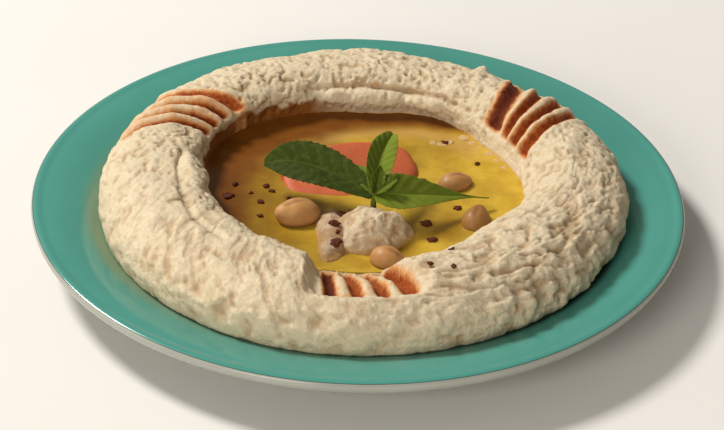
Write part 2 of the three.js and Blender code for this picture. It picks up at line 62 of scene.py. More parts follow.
# The ring of hummus and its pool: waves as height, count and shift, bumps as angle, half width, height
GAP = 0.3
CREST_RADIUS = 70
CREST_SHIFT_RIGHT = 1.25
CREST_SHIFT_NEAR = 0.95
CREST_HEIGHT = 31.3
CREST_DROP_FAR = 0.75
CREST_WANDER = [(0.5, 3, 1), (0.35, 7, 2)]
HEIGHT_WANDER = [(0.35, 4, 0.6), (0.25, 9, 0)]
POOL_WANDER = [(0.6, 5, 1)]
OUTER_HALF_WIDTH = 18.7
CONTACT_RADIUS = 88
HIDDEN_SEATS = [84, 76, WELL_RADIUS]
POOL_RADIUS = 54
POOL_SHIFT_RIGHT = 1.4
POOL_LEANS = [(222, 50, 3.5), (322, 42, 3.5)]
POOL_BAYS = [(130, 50, 5), (62, 26, 3.5)]
LIP_SHARE = 0.5
LIP_PHI = 146
LIP_HALF_PHI = 26
OUTER_SHOULDER = 2.1
INNER_SHOULDER = 2.1
FULLER_SHOULDERS = [(120, 110, 0.6), (225, 60, 0.8), (322, 48, 0.9), (350, 60, -0.5)]
POOL_FLOOR = 13.4
POOL_FLOOR_INSET = 0.8
OIL_LEVEL = 16.5
LUMP_SIZE = 13
LUMP_HEIGHT = 0.9
RIPPLE_SIZE = 5
RIPPLE_HEIGHT = 0.45
WAVES_RISE = (0, 25)
WAVES_FALL = (160, 180)
LOBE = {"angle": 189, "half_angle": 12, "radius": 56.3, "half_width": 4.4, "height": 2.6}
CREASE = [(172, 59.2), (181, 59.7), (197, 61), (206, 63), (218, 66), (240, 67.6)]
CREASE_DEPTH = 1.4
CREASE_HALF_WIDTH = 2
RING_COLUMNS = 880
RING_ROWS = 102
SECTION_STEPS = 1441
SECTION_ANGLES = (70, 110, 200, 250, 340)
FOOT_ROWS = 7
FOOT_UNDERCUT = 1.1
DEEPER_UNDERCUT = [(338, 62, 2.6)]
TIER = {
    "angle": 82, "half_angle": 44, "phi": 162, "half_phi": 19, "height": 2.6,
    "crease": 1.3, "crease_phi": 142, "crease_half_phi": 8,
}
PEAK = {"angle": 57, "phi": 62, "height": 2, "half_width": 3}

# Three stations of four grooves pressed across the ring
GROOVES = 4
GROOVE_PITCH = 6.3
GROOVE_HALF_WIDTH = 2.5
GROOVE_DEPTH = 2.2
GROOVE_FADE = 12
RIDGE_HEIGHT = 0.45
BARE_SHARE = 0.6
STATION_ENDS = (11, 13.5)
# In each station, the four darkening shares are painted shade on the paprika of its four grooves
STATIONS = [
    {
        "angle": 153, "skew": 27, "from": 22, "to": 152, "widest": 0, "wide": 1.5,
        "groove_shade": (0.05, 0.15, 0.2, 0.15), "dust": 0.27, "spread": 1.15,
    },
    {
        "angle": 31.5, "skew": 27, "from": 30, "to": 156, "widest": 3, "wide": 2.2,
        "groove_shade": (0.2, 0.25, 0.3, 0.9), "dust": 0.2, "spread": 1.6,
    },
    {
        "angle": 272.5, "skew": 12, "from": 66, "to": 158, "widest": 3, "wide": 1.3,
        "groove_shade": (1, 0.35, 0.3, 0.25), "dust": 0.24, "spread": 1.45,
    },
]
SCOOP = {
    "angle": 271.5, "skew": 12, "half_angle": 13.5, "soft": 2,
    "pool": 47, "rim": 27, "radius": 72, "starts": (55, 75),
}

# The relief of mashed chickpeas: each pattern's size and height, each side's angle and half width
PITS = (2.3, 0.75)
KNOBS = (3, 0.9)
DENTS = (2.1, 0.6)
WRINKLES = (2.8, 0.95)
SMEARS = (2.4, 0.9)
FLUTES = (2.3, 0.95)
SWELLINGS = (5.5, 0.45)
RAGGED_SHORE = (3.4, 0.7)
LEFT_SIDE = (238, 74)
RIGHT_SIDE = (318, 66)
OVER_PER_DEGREE = 0.33
PRESSED_SMOOTH = 0.7

# Paprika dusted beside the grooves: x, y, radius and strength
DUST = [
    (-59.6, 39.2, 7, 0.38), (-52.6, 38.9, 7, 0.42), (-47.4, 38.9, 6, 0.42), (-42.3, 40.2, 5, 0.5),
    (-3, -77, 4.5, 0.35), (-32.7, -49, 2.4, 0.4), (-6.3, 56.5, 4, 0.2), (4.5, 57.5, 4, 0.22),
]

# What stands in the pool
DOLLOP = {
    "x": 4.6, "y": -26, "half_x": 13, "half_y": 10.8, "top": 26.2, "round": 3, "rough": 1.1,
    "relief": 0.55, "stain_and_shade": 0.14,
}
DOLLOP_RIDGE = {
    "x": -8, "y": -25.5, "half_x": 6, "half_y": 16, "top": 20.6, "round": 2.6, "rough": 0.2,
    "relief": 0.3, "stain_and_shade": 0.4,
}
MOUND_COLUMNS = 150
MOUND_ROWS = 60
CHICKPEAS = {
    "chickpea_left": {
        "at": (-19.6, -15.8, 17.4), "length": 15.6, "width": 12, "turn": 205, "roll": 10, "oily": 0,
    },
    "chickpea_far": {
        "at": (32.3, 8, 15.8), "length": 11.5, "width": 10.2, "turn": 20, "roll": 0, "oily": 0.25,
    },
    "chickpea_right": {
        "at": (39.3, -15.5, 16.4), "length": 11.5, "width": 9.8, "turn": 75, "roll": 20, "oily": 0.85,
    },
    "chickpea_near": {
        "at": (10, -41, 17), "length": 11.8, "width": 9.8, "turn": 340, "roll": -15, "oily": 0.25,
    },
}
CHICKPEA_COLUMNS = 96
CHICKPEA_ROWS = 56
BEAK = {"towards": (1, 0, 0.35), "height": 0.17, "reach": 42}
FURROW = {"depth": 0.06, "half_width": 0.3, "starts": (15, 35), "ends": (60, 100)}
TOMATO = {
    "x": -3.3, "y": 12.3, "half_length": 26, "half_width": 13.6, "turn": 17,
    "near": 17, "far": 22.6, "bottom": 14.2, "sunk": 1.8,
}
TOMATO_DIP = 0.6
TOMATO_COLUMNS = 160
TOMATO_FACE_ROWS = 26
TOMATO_FACE_END = 0.86
TOMATO_FACE_DROP = 0.2
TOMATO_EDGE = [(0.9, 0.3), (0.93, 0.5), (0.955, 0.8), (0.975, 1.2), (0.99, 1.7), (1, 2.4)]

# The mint sprig
STEM = {"x": 5, "y": -17.5, "radius": 1.3, "bottom": 17.6, "top": 28}
SPRIG = (STEM["x"], STEM["y"], STEM["top"] - 0.5)
STEM_COLUMNS = 24
STEM_ROWS = 14
LEAF_ROWS = 110
LEAF_COLUMNS = 45
LEAF_THICKNESS = 0.7
LEAF_WAVE = 0.35
TOOTH_DEPTH = 0.065
VEIN_SLANT = 1.3
QUILT_HEIGHT = 0.22
RIB_DEPTH = 0.18
SMALL_LEAF = {"lead": 0.95, "taper": 0.8, "veins": 5}
# Each leaf's light sets its share of the paler green: partly the leaf's own tone and partly painted light
LEAVES = [
    {
        "rib": [SPRIG, (-19.2, 0.6, 32.2), (-31.8, 2.9, 26.2)], "half_width": 8.3, "roll": -28,
        "fold": 14, "lead": 1, "taper": 0.75, "veins": 9, "light": 0.12,
    },
    {
        "rib": [SPRIG, (5.2, -0.6, 31.7), (11, 9.5, 35)], "half_width": 5.6, "roll": 20,
        "fold": 28, "lead": 1.05, "taper": 0.6, "veins": 8, "light": 1,
    },
    {
        "rib": [SPRIG, (21.5, -12.6, 25.4), (43.7, -5.4, 20)], "half_width": 7.8, "roll": 26,
        "fold": 16, "lead": 0.52, "taper": 2, "veins": 9, "light": 0.9,
    },
    {
        "rib": [SPRIG, (0.5, -9, 31), (-1.2, -3, 29.5)], "half_width": 2.8, "roll": -20,
        "fold": 15, "light": 0.8, **SMALL_LEAF,
    },
    {
        "rib": [SPRIG, (6, -14, 31), (7, -10, 34)], "half_width": 2.8, "roll": 30,
        "fold": 25, "light": 0.6, **SMALL_LEAF,
    },
    {
        "rib": [SPRIG, (9.5, -16, 30.5), (12.5, -12.5, 31)], "half_width": 2.6, "roll": 10,
        "fold": 20, "light": 0.6, **SMALL_LEAF,
    },
]

# Flakes of dried pepper and crumbs of hummus: x, y and radius, or on the ring theta, phi and radius
FLAKE_THICKNESS = 0.9
FLAKE_COLUMNS = 14
FLAKE_SECTION = [(0.5, 0.5), (0.85, 0.42), (1, 0.1), (0.9, -0.35), (0.5, -0.45)]
FLAKE_LIFT = 0.2
OIL_FLAKES = [
    (-43.9, -3.4, 2.3), (-41.9, 3.8, 1.2), (-36.2, -1.2, 0.9), (-31.4, 3.4, 1.3), (-29.4, 0.4, 1.2),
    (-32.6, -6.6, 1.4), (-23.5, -4.4, 1.1), (-32.5, -15.4, 1.2), (22.7, -17.3, 2.5), (24.6, -27, 1.9),
    (33.2, -7, 1.6), (21.4, 9.4, 1.8), (29.7, 35.8, 1.5), (45.3, -16.6, 1.6), (40.5, 22, 1.1),
]
DOLLOP_FLAKES = [(-5.6, -18.4, 2.2), (-7.6, -25.4, 2), (-7, -34.8, 2.6), (-6.4, -29.6, 1.1)]
CRUMBS = [
    (25.5, 35.5, 1.6), (28.6, 34.8, 2.4), (31.4, 36.2, 1.8), (36.8, 39.6, 2.6), (40.2, 37, 2.8),
    (43, 33.8, 2.4), (45.4, 30, 2.6), (48, 25.4, 2.2), (50, 20.4, 1.8),
]
CRUMB_SINK = 0.25
RING_FLAKES = [(289.3, 92, 1.2), (294.5, 85, 1.1), (298.6, 114, 1.2)]

# The oil's patches of painted shade as x, y, radius and strength; its brown edge of paprika tint and painted
# shade, and its creamy shelf, as angle and radius
OIL_SHADE_PATCHES = [
    (30, -19, 15, 0.7), (12, -34, 14, 0.45), (0, -42, 15, 0.25), (-12, 24, 22, 0.75), (20, 34, 22, 0.35),
]
BROWN_OIL = [
    (0, 80), (40, 66), (60, 55), (80, 49), (95, 46), (110, 42), (140, 41.5), (170, 42.5),
    (188, 42), (205, 44), (225, 58), (360, 80),
]
CREAMY_OIL = [(0, 48), (40, 50), (60, 48), (80, 43.5), (110, 38)]

# How far the oil runs under the ring's skin, and how it creeps up at the shore
UNDER_RING = 1.2
SHORE_RISE = 0.35
SHORE_REACH = 0.8

# The inner wall's brown oil stain and painted shade as angle, half width and strength, and the heights where
# that and the oil fade
STAINED_AND_SHADED_WALL = [(138, 52, 2)]
STAIN_AND_SHADE_FADES = (4.6, 6.4)
WET_FADES = (0.2, 1.6)

# The camera, worked out from the plate's outline in the photo, and the studio
CAMERA_PLACE = (0, -722.6, 465.2)
CAMERA_AIM = (1.35, -14.45, 17.5)
CAMERA_ROLL = 1.758
CAMERA_LENS = 125.27
SENSOR_WIDTH = 36
FLOOR_SIZE = 6000
FLOOR_LEVEL = -0.2
WORLD_COLOUR = (1.0, 0.94, 0.85, 1)
WORLD_STRENGTH = 0.25
LIGHT_AIM = (0, 0, 20)
LIGHTS = {
    "key": {"place": (-1140, 800, 1500), "size": 500, "power": 41.5, "colour": (1.0, 0.97, 0.93)},
    "fill": {"place": (-650, -1300, 620), "size": 800, "power": 13, "colour": (1.0, 0.95, 0.88)},
}


# Small sums

def smoothstep(a, b, x):
    """Rises smoothly from 0 to 1 as x goes from a to b."""
    t = np.clip((x - a) / (b - a), 0, 1)
    return t * t * (3 - 2 * t)


def fall(a, b, x):
    """Falls smoothly from 1 to 0 as x goes from a to b."""
    return 1 - smoothstep(a, b, x)


def lerp(a, b, t):
    return a + (b - a) * t


def bump(distance, half_width):
    """A round bump that is 1 at the centre and 0 from half_width away."""
    t = np.minimum(1, np.abs(distance) / half_width)
    return (1 - t * t) ** 2


def angle_from(degrees, centre):
    """The signed difference of two angles, from -180 to 180."""
    return (degrees - centre + 540) % 360 - 180


def even_turn(columns):
    """Angles in radians that lie evenly round a turn."""
    return np.radians(np.arange(columns) * 360 / columns)


def ring_at(radius, height, turn):
    """Points round the middle, each at its radius, its height and its turn in radians."""
    return np.stack(np.broadcast_arrays(radius * np.cos(turn), radius * np.sin(turn), height), -1)


def corner_value(i, j, k):
    """A number from 0 to 1 that is always the same for the same grid corner."""
    s = np.sin(i * 127.1 + j * 311.7 + k * 74.7) * 43758.5453
    return s - np.floor(s)


def lumps(x, y, z, size):
    """Smooth lumps from -1 to 1, about one lump to each size."""
    grid = [np.asarray(v, float) / size for v in (x, y, z)]
    low = [np.floor(g) for g in grid]
    share = [smoothstep(0, 1, g - n) for g, n in zip(grid, low)]
    total = 0
    for corner in np.ndindex(2, 2, 2):
        weight = 1
        for side, s in zip(corner, share):
            weight = weight * (s if side else 1 - s)
        total = total + weight * corner_value(*(n + side for n, side in zip(low, corner)))
    return 2 * total - 1


def rough(x, y, z, size):
    """Lumps in two sizes on top of each other, pushed about so that no grid shows."""
    push = 0.4 * size
    wx = x + push * lumps(y, z, x, size)
    wy = y + push * lumps(z, x, y, size)
    wz = z + push * lumps(x + 31, y, z, size)
    coarse = lumps(wx, wy, wz, size)
    fine = lumps(wx + 17, wy, wz, size / 2)
    return (coarse + 0.5 * fine) / 1.2


# Meshes

def grid_faces(rows, columns, wrap=False):
    """Quads of a grid whose row goes up with i and whose column goes up with j."""
    last = columns if wrap else columns - 1
    i, j = np.meshgrid(np.arange(rows - 1), np.arange(last), indexing="ij")
    after = (j + 1) % columns
    row, below = i * columns, (i + 1) * columns
    return np.stack([row + j, below + j, below + after, row + after], -1).reshape(-1, 4)


def add_piece(name, points, faces, replaced, attributes, material):
    """Makes a smooth mesh piece that rides on the part, from points in millimetres."""
    mesh = bpy.data.meshes.new(name)
    mesh.from_pydata((np.asarray(points, float) * MM).tolist(), [], [list(map(int, f)) for f in faces])
    mesh.validate()
    mesh.polygons.foreach_set("use_smooth", [True] * len(mesh.polygons))
    for key, values in attributes.items():
        layer = mesh.attributes.new(key, "FLOAT", "POINT")
        layer.data.foreach_set("value", np.asarray(values, np.float32).ravel())
    mesh.materials.append(material)
    piece = bpy.data.objects.new(name, mesh)
    bpy.context.scene.collection.objects.link(piece)
    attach(piece, "root")
    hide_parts(replaced)


def closed_rings(top, rings, bottom):
    """Points and faces of a closed solid: rings of points between a top and a bottom pole.

    Each ring goes anticlockwise, seen from above, and the rings go outwards and then under.
    """
    rings = np.asarray(rings, float)
    rows, columns = rings.shape[:2]
    points = np.concatenate([rings.reshape(-1, 3), [top], [bottom]])
    faces = [list(f) for f in grid_faces(rows, columns, wrap=True)]
    first, last = rows * columns, rows * columns + 1
    for j in range(columns):
        after = (j + 1) % columns
        faces.append([first, j, after])
        faces.append([(rows - 1) * columns + j, last, (rows - 1) * columns + after])
    return points, faces


def grid_normals(points):
    """Unit normals of a grid of points that wraps round along its columns."""
    down = np.gradient(points, axis=0)
    along = (np.roll(points, -1, axis=1) - np.roll(points, 1, axis=1)) / 2
    normal = np.cross(down, along)
    length = np.linalg.norm(normal, axis=-1, keepdims=True)
    return normal / np.maximum(length, 1e-9)


# Node materials

def srgb(red, green, blue):
    """A shader colour from the red, green and blue that the eye sees, 0 to 255."""
    linear = [((v / 255 + 0.055) / 1.055) ** 2.4 if v > 10 else v / 3295 for v in (red, green, blue)]
    return (*linear, 1)


HUMMUS_DEEP = srgb(210, 193, 160)
HUMMUS_LIGHT = srgb(226, 211, 183)
HUMMUS_GRAIN = srgb(192, 169, 128)
# Painted shade for the hollows of the relief
HOLLOW_SHADE_HUMMUS = srgb(160, 114, 62)
OILY_HUMMUS = srgb(204, 160, 90)
STAINED_AND_SHADED_HUMMUS = srgb(138, 84, 30)
PALE_PAPRIKA = srgb(214, 156, 98)
PAPRIKA = srgb(182, 94, 36)
DEEP_PAPRIKA = srgb(154, 68, 20)
SHADED_PAPRIKA = srgb(80, 22, 0)


class Graph:
    """The node tree of one material, whose parts are added one by one."""

    def __init__(self, name):
        self.material = bpy.data.materials.new(name)
        self.material.use_nodes = True
        self.tree = self.material.node_tree
        self.shader = self.tree.nodes["Principled BSDF"]
        self.place = self.node("ShaderNodeTexCoord").outputs["Object"]

    def feed(self, socket, value):
        if isinstance(value, bpy.types.NodeSocket):
            self.tree.links.new(value, socket)
        else:
            socket.default_value = value

    def node(self, kind, inputs=None, **settings):
        made = self.tree.nodes.new(kind)
        for key, value in settings.items():
            setattr(made, key, value)
        for key, value in (inputs or {}).items():
            self.feed(made.inputs[key], value)
        return made

    def attribute(self, name):
        return self.node("ShaderNodeAttribute", attribute_name=name).outputs["Fac"]

    def noise(self, size, detail=2, roughness=0.5):
        """Noise from 0 to 1 whose patches are about size millimetres across."""
        inputs = {"Vector": self.place, "Scale": 1 / (size * MM), "Detail": detail, "Roughness": roughness}
        return self.node("ShaderNodeTexNoise", inputs).outputs[0]

    def ramp(self, value, low, high, start=0.0, end=1.0):
        """Turns low to high into start to end, smoothly, and no further."""
        inputs = {"Value": value, "From Min": low, "From Max": high, "To Min": start, "To Max": end}
        return self.node("ShaderNodeMapRange", inputs, interpolation_type="SMOOTHSTEP").outputs[0]

    def patches(self, low, high, size, detail=2, roughness=0.5):
        """Soft patches about size millimetres across, with values from low to high."""
        return self.ramp(self.noise(size, detail, roughness), 0.3, 0.7, low, high)

    def math(self, operation, a, b=0.0):
        return self.node("ShaderNodeMath", {0: a, 1: b}, operation=operation).outputs[0]

    def mix(self, share, a, b, most=1):
        """Mixes two colours by a share from 0 to 1, with at most that much of the second."""
        if most < 1:
            share = self.math("MULTIPLY", share, most)
        made = self.node("ShaderNodeMix", data_type="RGBA")
        self.feed(made.inputs[0], share)
        self.feed(made.inputs[6], a)
        self.feed(made.inputs[7], b)
        return made.outputs[2]

    def bump(self, height, depth, strength=1.0):
        """Relief of at most depth millimetres."""
        inputs = {"Height": height, "Distance": depth * MM, "Strength": strength}
        made = self.node("ShaderNodeBump", inputs)
        self.feed(self.shader.inputs["Normal"], made.outputs[0])

    def set(self, **inputs):
        """Feeds the shader's inputs, with a blank in a name written as an underscore."""
        for key, value in inputs.items():
            self.feed(self.shader.inputs[key.replace("_", " ")], value)


# The plate

def plate_top(radius):
    return WELL_FLOOR + WALL_RISE * smoothstep(WELL_RADIUS, WALL_END_RADIUS, np.asarray(radius, float))


def plate_profile():
    """The plate's outline from the middle of its top round to the middle of its underside."""
    radii = np.concatenate([FLOOR_RADII, np.linspace(WELL_RADIUS, WALL_END_RADIUS, WALL_ROWS)])
    top = list(zip(radii, plate_top(radii)))
    radii = np.linspace(UNDERSIDE_END_RADIUS, WELL_RADIUS + 2, UNDERSIDE_ROWS)
    heights = plate_top(radii) - PLATE_THICKNESS
    edge = rounded([top[-1], *ROLLED_EDGE, (radii[0], heights[0])], 3)[1:-1]
    under = [(r, max(FOOT_HEIGHT, z)) for r, z in zip(radii, heights)]
    foot = [(FOOT_OUTER_RADIUS + out, z) for out, z in FOOT_STEPS]
    foot += [(FOOT_INNER_RADIUS - out, z) for out, z in FOOT_STEPS[::-1]]
    return top + edge + under + foot + [(FOOT_INNER_RADIUS - 20, FOOT_HEIGHT)]


def rounded(outline, times):
    """Cuts the corners of an open outline a few times, which rounds it."""
    outline = np.array(outline, float)
    for _ in range(times):
        before, after = outline[:-1], outline[1:]
        near = lerp(before, after, 0.25)
        far = lerp(before, after, 0.75)
        cut = np.stack([near, far], 1).reshape(-1, 2)
        outline = np.concatenate([outline[:1], cut[1:-1], outline[-1:]])
    return [tuple(point) for point in outline]


def plate_material():
    graph = Graph("plate")
    white = graph.attribute("white")
    # A darker line along the border of the teal top and the white edge
    teal_white_border = graph.ramp(graph.math("ABSOLUTE", graph.math("SUBTRACT", white, 0.5)), 0.1, 0.45, 1, 0)
    tint = graph.mix(graph.noise(34, 3), srgb(66, 141, 128), srgb(78, 152, 139))
    pale = graph.mix(graph.noise(20, 3), srgb(154, 157, 147), srgb(172, 174, 164))
    colour = graph.mix(graph.ramp(white, 0.4, 0.6), tint, pale)
    # Painted reflection: the olive of the hummus ring mirrored in the plate at its left foot
    colour = graph.mix(graph.attribute("painted_reflection"), colour, srgb(132, 138, 100))
    # Painted shade: a dark line on the plate at the near right of the ring's foot
    colour = graph.mix(graph.attribute("shade"), colour, srgb(18, 44, 28))
    graph.set(Base_Color=graph.mix(teal_white_border, colour, srgb(58, 74, 62)))
    graph.set(Roughness=graph.patches(0.12, 0.22, 26, 4, 0.6), Specular_IOR_Level=0.5)
    graph.bump(graph.noise(3.5, 2), 0.03, 0.35)
    return graph.material


def build_plate():
    rings = [ring_at(r, z, even_turn(PLATE_SEGMENTS)) for r, z in plate_profile()]
    points, faces = closed_rings((0, 0, WELL_FLOOR), rings, (0, 0, FOOT_HEIGHT))
    x, y, z = points.T
    radius = np.hypot(x, y)
    upper = z >= plate_top(radius) - 1
    rolled = smoothstep(WHITE_RADIUS - WHITE_BLEND, WHITE_RADIUS + WHITE_BLEND, radius)
    elsewhere = np.where(upper & (radius < WALL_END_RADIUS), 0, 1)
    white = np.where(upper & (z > WHITE_LEVEL), rolled, elsewhere)
    theta = np.degrees(np.arctan2(y, x)) % 360
    at_foot = smoothstep(CONTACT_RADIUS - 4, CONTACT_RADIUS, radius) * upper
    # Painted reflection of the ring at the left of its foot, fading outwards from the contact
    painted_reflection = swell(theta, [PAINTED_REFLECTION_AT_FOOT]) * fall(CONTACT_RADIUS + 1, CONTACT_RADIUS + PAINTED_REFLECTION_REACH, radius)
    # Painted shade at the near right of the ring's foot, fading outwards from the contact
    shade = swell(theta, [SHADE_AT_FOOT]) * fall(CONTACT_RADIUS, CONTACT_RADIUS + SHADE_REACH, radius)
    attributes = {"white": white, "painted_reflection": painted_reflection * at_foot, "shade": shade * at_foot}
    add_piece("plate_fine", points, faces, "plate", attributes, plate_material())


# The ring of hummus

def wander(theta, waves):
    """The sum of some waves round the ring, each as its height, its count and its shift."""
    t = np.radians(theta)
    return sum(height * np.sin(count * t + shift) for height, count, shift in waves)


def swell(theta, bumps):
    """The sum of some bumps round the ring, each as its angle, its half width and its height."""
    return sum(height * bump(angle_from(theta, angle), half) for angle, half, height in bumps)


def crest_radius(theta):
    t = np.radians(theta)
    shift = CREST_SHIFT_RIGHT * np.cos(t) - CREST_SHIFT_NEAR * np.sin(t)
    return CREST_RADIUS + shift + wander(theta, CREST_WANDER)


def crest_height(theta):
    return CREST_HEIGHT - CREST_DROP_FAR * np.sin(np.radians(theta)) + wander(theta, HEIGHT_WANDER)


def middle_angle(pressed, radius):
    """The angle of a pressed station's middle at a radius, which changes with its skew."""
    run = (radius - CREST_RADIUS) / CREST_RADIUS
    return pressed["angle"] + np.degrees(run * math.tan(math.radians(pressed["skew"])))


def scoop_depth(theta, radius):
    """How far the scoop at the near station has been pressed in, 0 to 1."""
    away = np.abs(angle_from(theta, middle_angle(SCOOP, radius)))
    low, high = SCOOP["half_angle"] - SCOOP["soft"], SCOOP["half_angle"] + SCOOP["soft"]
    return fall(low, high, away)


def pool_radius(theta):
    """The edge of the pool, where the inner wall of the ring meets the oil."""
    shift = POOL_SHIFT_RIGHT * np.cos(np.radians(theta)) + wander(theta, POOL_WANDER)
    edge = POOL_RADIUS + shift + swell(theta, POOL_BAYS) - swell(theta, POOL_LEANS)
    return lerp(edge, SCOOP["pool"], scoop_depth(theta, POOL_RADIUS))


def shoulder(theta):
    """How square the inner shoulder is: steep and full at the far left, gentle at the right."""
    return INNER_SHOULDER + swell(theta, FULLER_SHOULDERS)


def grooves(theta, phi, radius):
    """The depth of the pressed grooves, how much paprika lies there, and how much painted shade darkens it.
    """
    depth, paprika, groove_shade = np.zeros((3, *theta.shape))
    for station in STATIONS:
        low, high = station["from"], station["to"]
        middle = middle_angle(station, radius)
        along = smoothstep(low, low + GROOVE_FADE, phi) * fall(high - GROOVE_FADE, high, phi)
        for i in range(GROOVES):
            place = middle + (i - (GROOVES - 1) / 2) * GROOVE_PITCH
            across = np.radians(angle_from(theta, place)) * radius * math.cos(math.radians(station["skew"]))
            half = GROOVE_HALF_WIDTH * (station["wide"] if i == station["widest"] else 1)
            depth += along * GROOVE_DEPTH * bump(across, half)
            ridge = np.abs(across) - GROOVE_PITCH * np.radians(radius) / 2
            depth -= along * RIDGE_HEIGHT * bump(ridge, GROOVE_HALF_WIDTH)
            spare = BARE_SHARE * (half - GROOVE_HALF_WIDTH) * (1 if i > 0 else -1)
            reach = GROOVE_HALF_WIDTH * station["spread"] + abs(spare)
            share = along * bump(across - spare, reach)
            paprika = np.maximum(paprika, share)
            groove_shade = np.maximum(groove_shade, share * station["groove_shade"][i])
        away = np.abs(angle_from(theta, middle))
        paprika = np.maximum(paprika, station["dust"] * along * fall(*STATION_ENDS, away))
    return depth, paprika, groove_shade


def lobe_and_crease(theta, radius):
    """The relief on the inner side at the left: an oval lobe and the crease behind it."""
    along = angle_from(theta, LOBE["angle"]) / LOBE["half_angle"]
    across = (radius - LOBE["radius"]) / LOBE["half_width"]
    lobe = LOBE["height"] * np.sqrt(np.maximum(0, 1 - along ** 2 - across ** 2))
    angles, radii = zip(*CREASE)
    ends = smoothstep(*angles[:2], theta) * fall(*angles[-2:], theta)
    crease = CREASE_DEPTH * ends * bump(radius - np.interp(theta, angles, radii), CREASE_HALF_WIDTH)
    return lobe - crease


def ring_skin(theta, phi):
    """Points on the ring's skin, as in the part, with what the grooves carry there."""
    t = np.radians(theta)
    inner = phi > 90
    crest = crest_radius(theta)
    width = np.where(inner, crest - pool_radius(theta), OUTER_HALF_WIDTH)
    power = 2 / np.where(inner, shoulder(theta), OUTER_SHOULDER)
    c, s = np.cos(np.radians(phi)), np.sin(np.radians(phi))
    lip = LIP_SHARE * swell(theta, POOL_BAYS) * bump(phi - LIP_PHI, LIP_HALF_PHI)
    radius = crest + np.sign(c) * width * np.abs(c) ** power - lip
    section = OIL_LEVEL + (crest_height(theta) - OIL_LEVEL) * np.abs(s) ** power
    ramp = lerp(OIL_LEVEL, SCOOP["rim"], smoothstep(SCOOP["pool"], SCOOP["radius"], radius))
    pressed = scoop_depth(theta, radius) * smoothstep(*SCOOP["starts"], phi)
    z = lerp(section, np.minimum(section, ramp), pressed)
    x, y = radius * np.cos(t), radius * np.sin(t)
    fade = smoothstep(*WAVES_RISE, phi) * fall(*WAVES_FALL, phi)
    waves = LUMP_HEIGHT * lumps(x, y, z, LUMP_SIZE) + RIPPLE_HEIGHT * lumps(x, y, z, RIPPLE_SIZE)
    left_side = np.where(inner, lobe_and_crease(theta, radius), 0)
    depth, paprika, groove_shade = grooves(theta, phi, radius)
    relief = fade * (waves + left_side) - depth
    return ring_at(radius + relief * c, z + relief * s, t), paprika, groove_shade


def even_phi(rows):
    """Values of phi from 180 down to 0 that lie evenly along the ring's section."""
    phi = np.linspace(180, 0, SECTION_STEPS)
    run = np.zeros_like(phi)
    for angle in SECTION_ANGLES:
        skin = ring_skin(np.full_like(phi, angle), phi)[0]
        step = np.linalg.norm(np.diff(skin, axis=0), axis=1)
        run[1:] += np.cumsum(step)
    return np.interp(np.linspace(0, run[-1], rows), run, phi)


def far_tier(theta, phi):
    """The lower lip on the far inner side, under a crease."""
    share = bump(angle_from(theta, TIER["angle"]), TIER["half_angle"])
    lip = TIER["height"] * bump(phi - TIER["phi"], TIER["half_phi"])
    return share * (lip - TIER["crease"] * bump(phi - TIER["crease_phi"], TIER["crease_half_phi"]))


def pressed_share(theta, radius, phi):
    """1 inside the pressed stations, where the hummus is smoother, and 0 outside them."""
    share = 0
    for station in STATIONS:
        half = GROOVES / 2 * GROOVE_PITCH
        away = np.abs(angle_from(theta, middle_angle(station, radius)))
        along = smoothstep(station["from"] - 6, station["from"] + 6, phi)
        share = np.maximum(share, along * fall(half - 1.5, half + 1.5, away))
    return share


def curds(points, theta, phi):
    """The fine relief of mashed chickpeas, smeared in other ways round the ring."""
    x, y, z = np.moveaxis(points, -1, 0)
    around, over = np.radians(theta) * CREST_RADIUS, OVER_PER_DEGREE * phi
    flat = 0 * over
    low = fall(25, 60, phi)
    outer = fall(100, 128, phi)
    left, right = (bump(angle_from(theta, angle), half) * outer for angle, half in (LEFT_SIDE, RIGHT_SIDE))
    broken = rough(x, y, z, PITS[0]) + 0.5 * rough(x + 20, y, z, PITS[0] / 2)
    pits = 0.9 * smoothstep(0.0, 0.7, broken) + 0.4 * broken
    dents = smoothstep(0.05, 0.55, rough(around + 0.4 * over, 0.42 * over, flat, DENTS[0]))
    knobs = rough(x + 50, y, z, KNOBS[0]) + 0.35 * broken
    lines = rough(0.34 * around + 0.3 * over, 0.9 * over, flat, WRINKLES[0])
    wrinkles = fall(0, 0.3, np.abs(lines))
    smears = rough(0.7 * around + 0.2 * over, over, flat + 7, SMEARS[0]) + 0.6 * broken
    flutes = rough(around, 0.3 * over, flat + 3, FLUTES[0]) + 0.3 * broken
    relief = -PITS[1] * pits * (1 - 0.7 * left - 0.7 * right)
    relief += left * (lerp(0.4, KNOBS[1], low) * knobs - DENTS[1] * dents)
    relief += right * (SMEARS[1] * smears + FLUTES[1] * low * flutes)
    relief -= right * WRINKLES[1] * wrinkles * (1 - 0.6 * low)
    relief += SWELLINGS[1] * rough(x, y + 11, z, SWELLINGS[0]) + far_tier(theta, phi)
    relief += RAGGED_SHORE[1] * smoothstep(160, 174, phi) * rough(x, y + 5, 0 * z, RAGGED_SHORE[0])
    smooth = PRESSED_SMOOTH * pressed_share(theta, np.hypot(x, y), phi)
    away = np.hypot(angle_from(theta, PEAK["angle"]) * 1.3, (phi - PEAK["phi"]) * OVER_PER_DEGREE)
    return relief * (1 - smooth) + PEAK["height"] * bump(away, PEAK["half_width"])


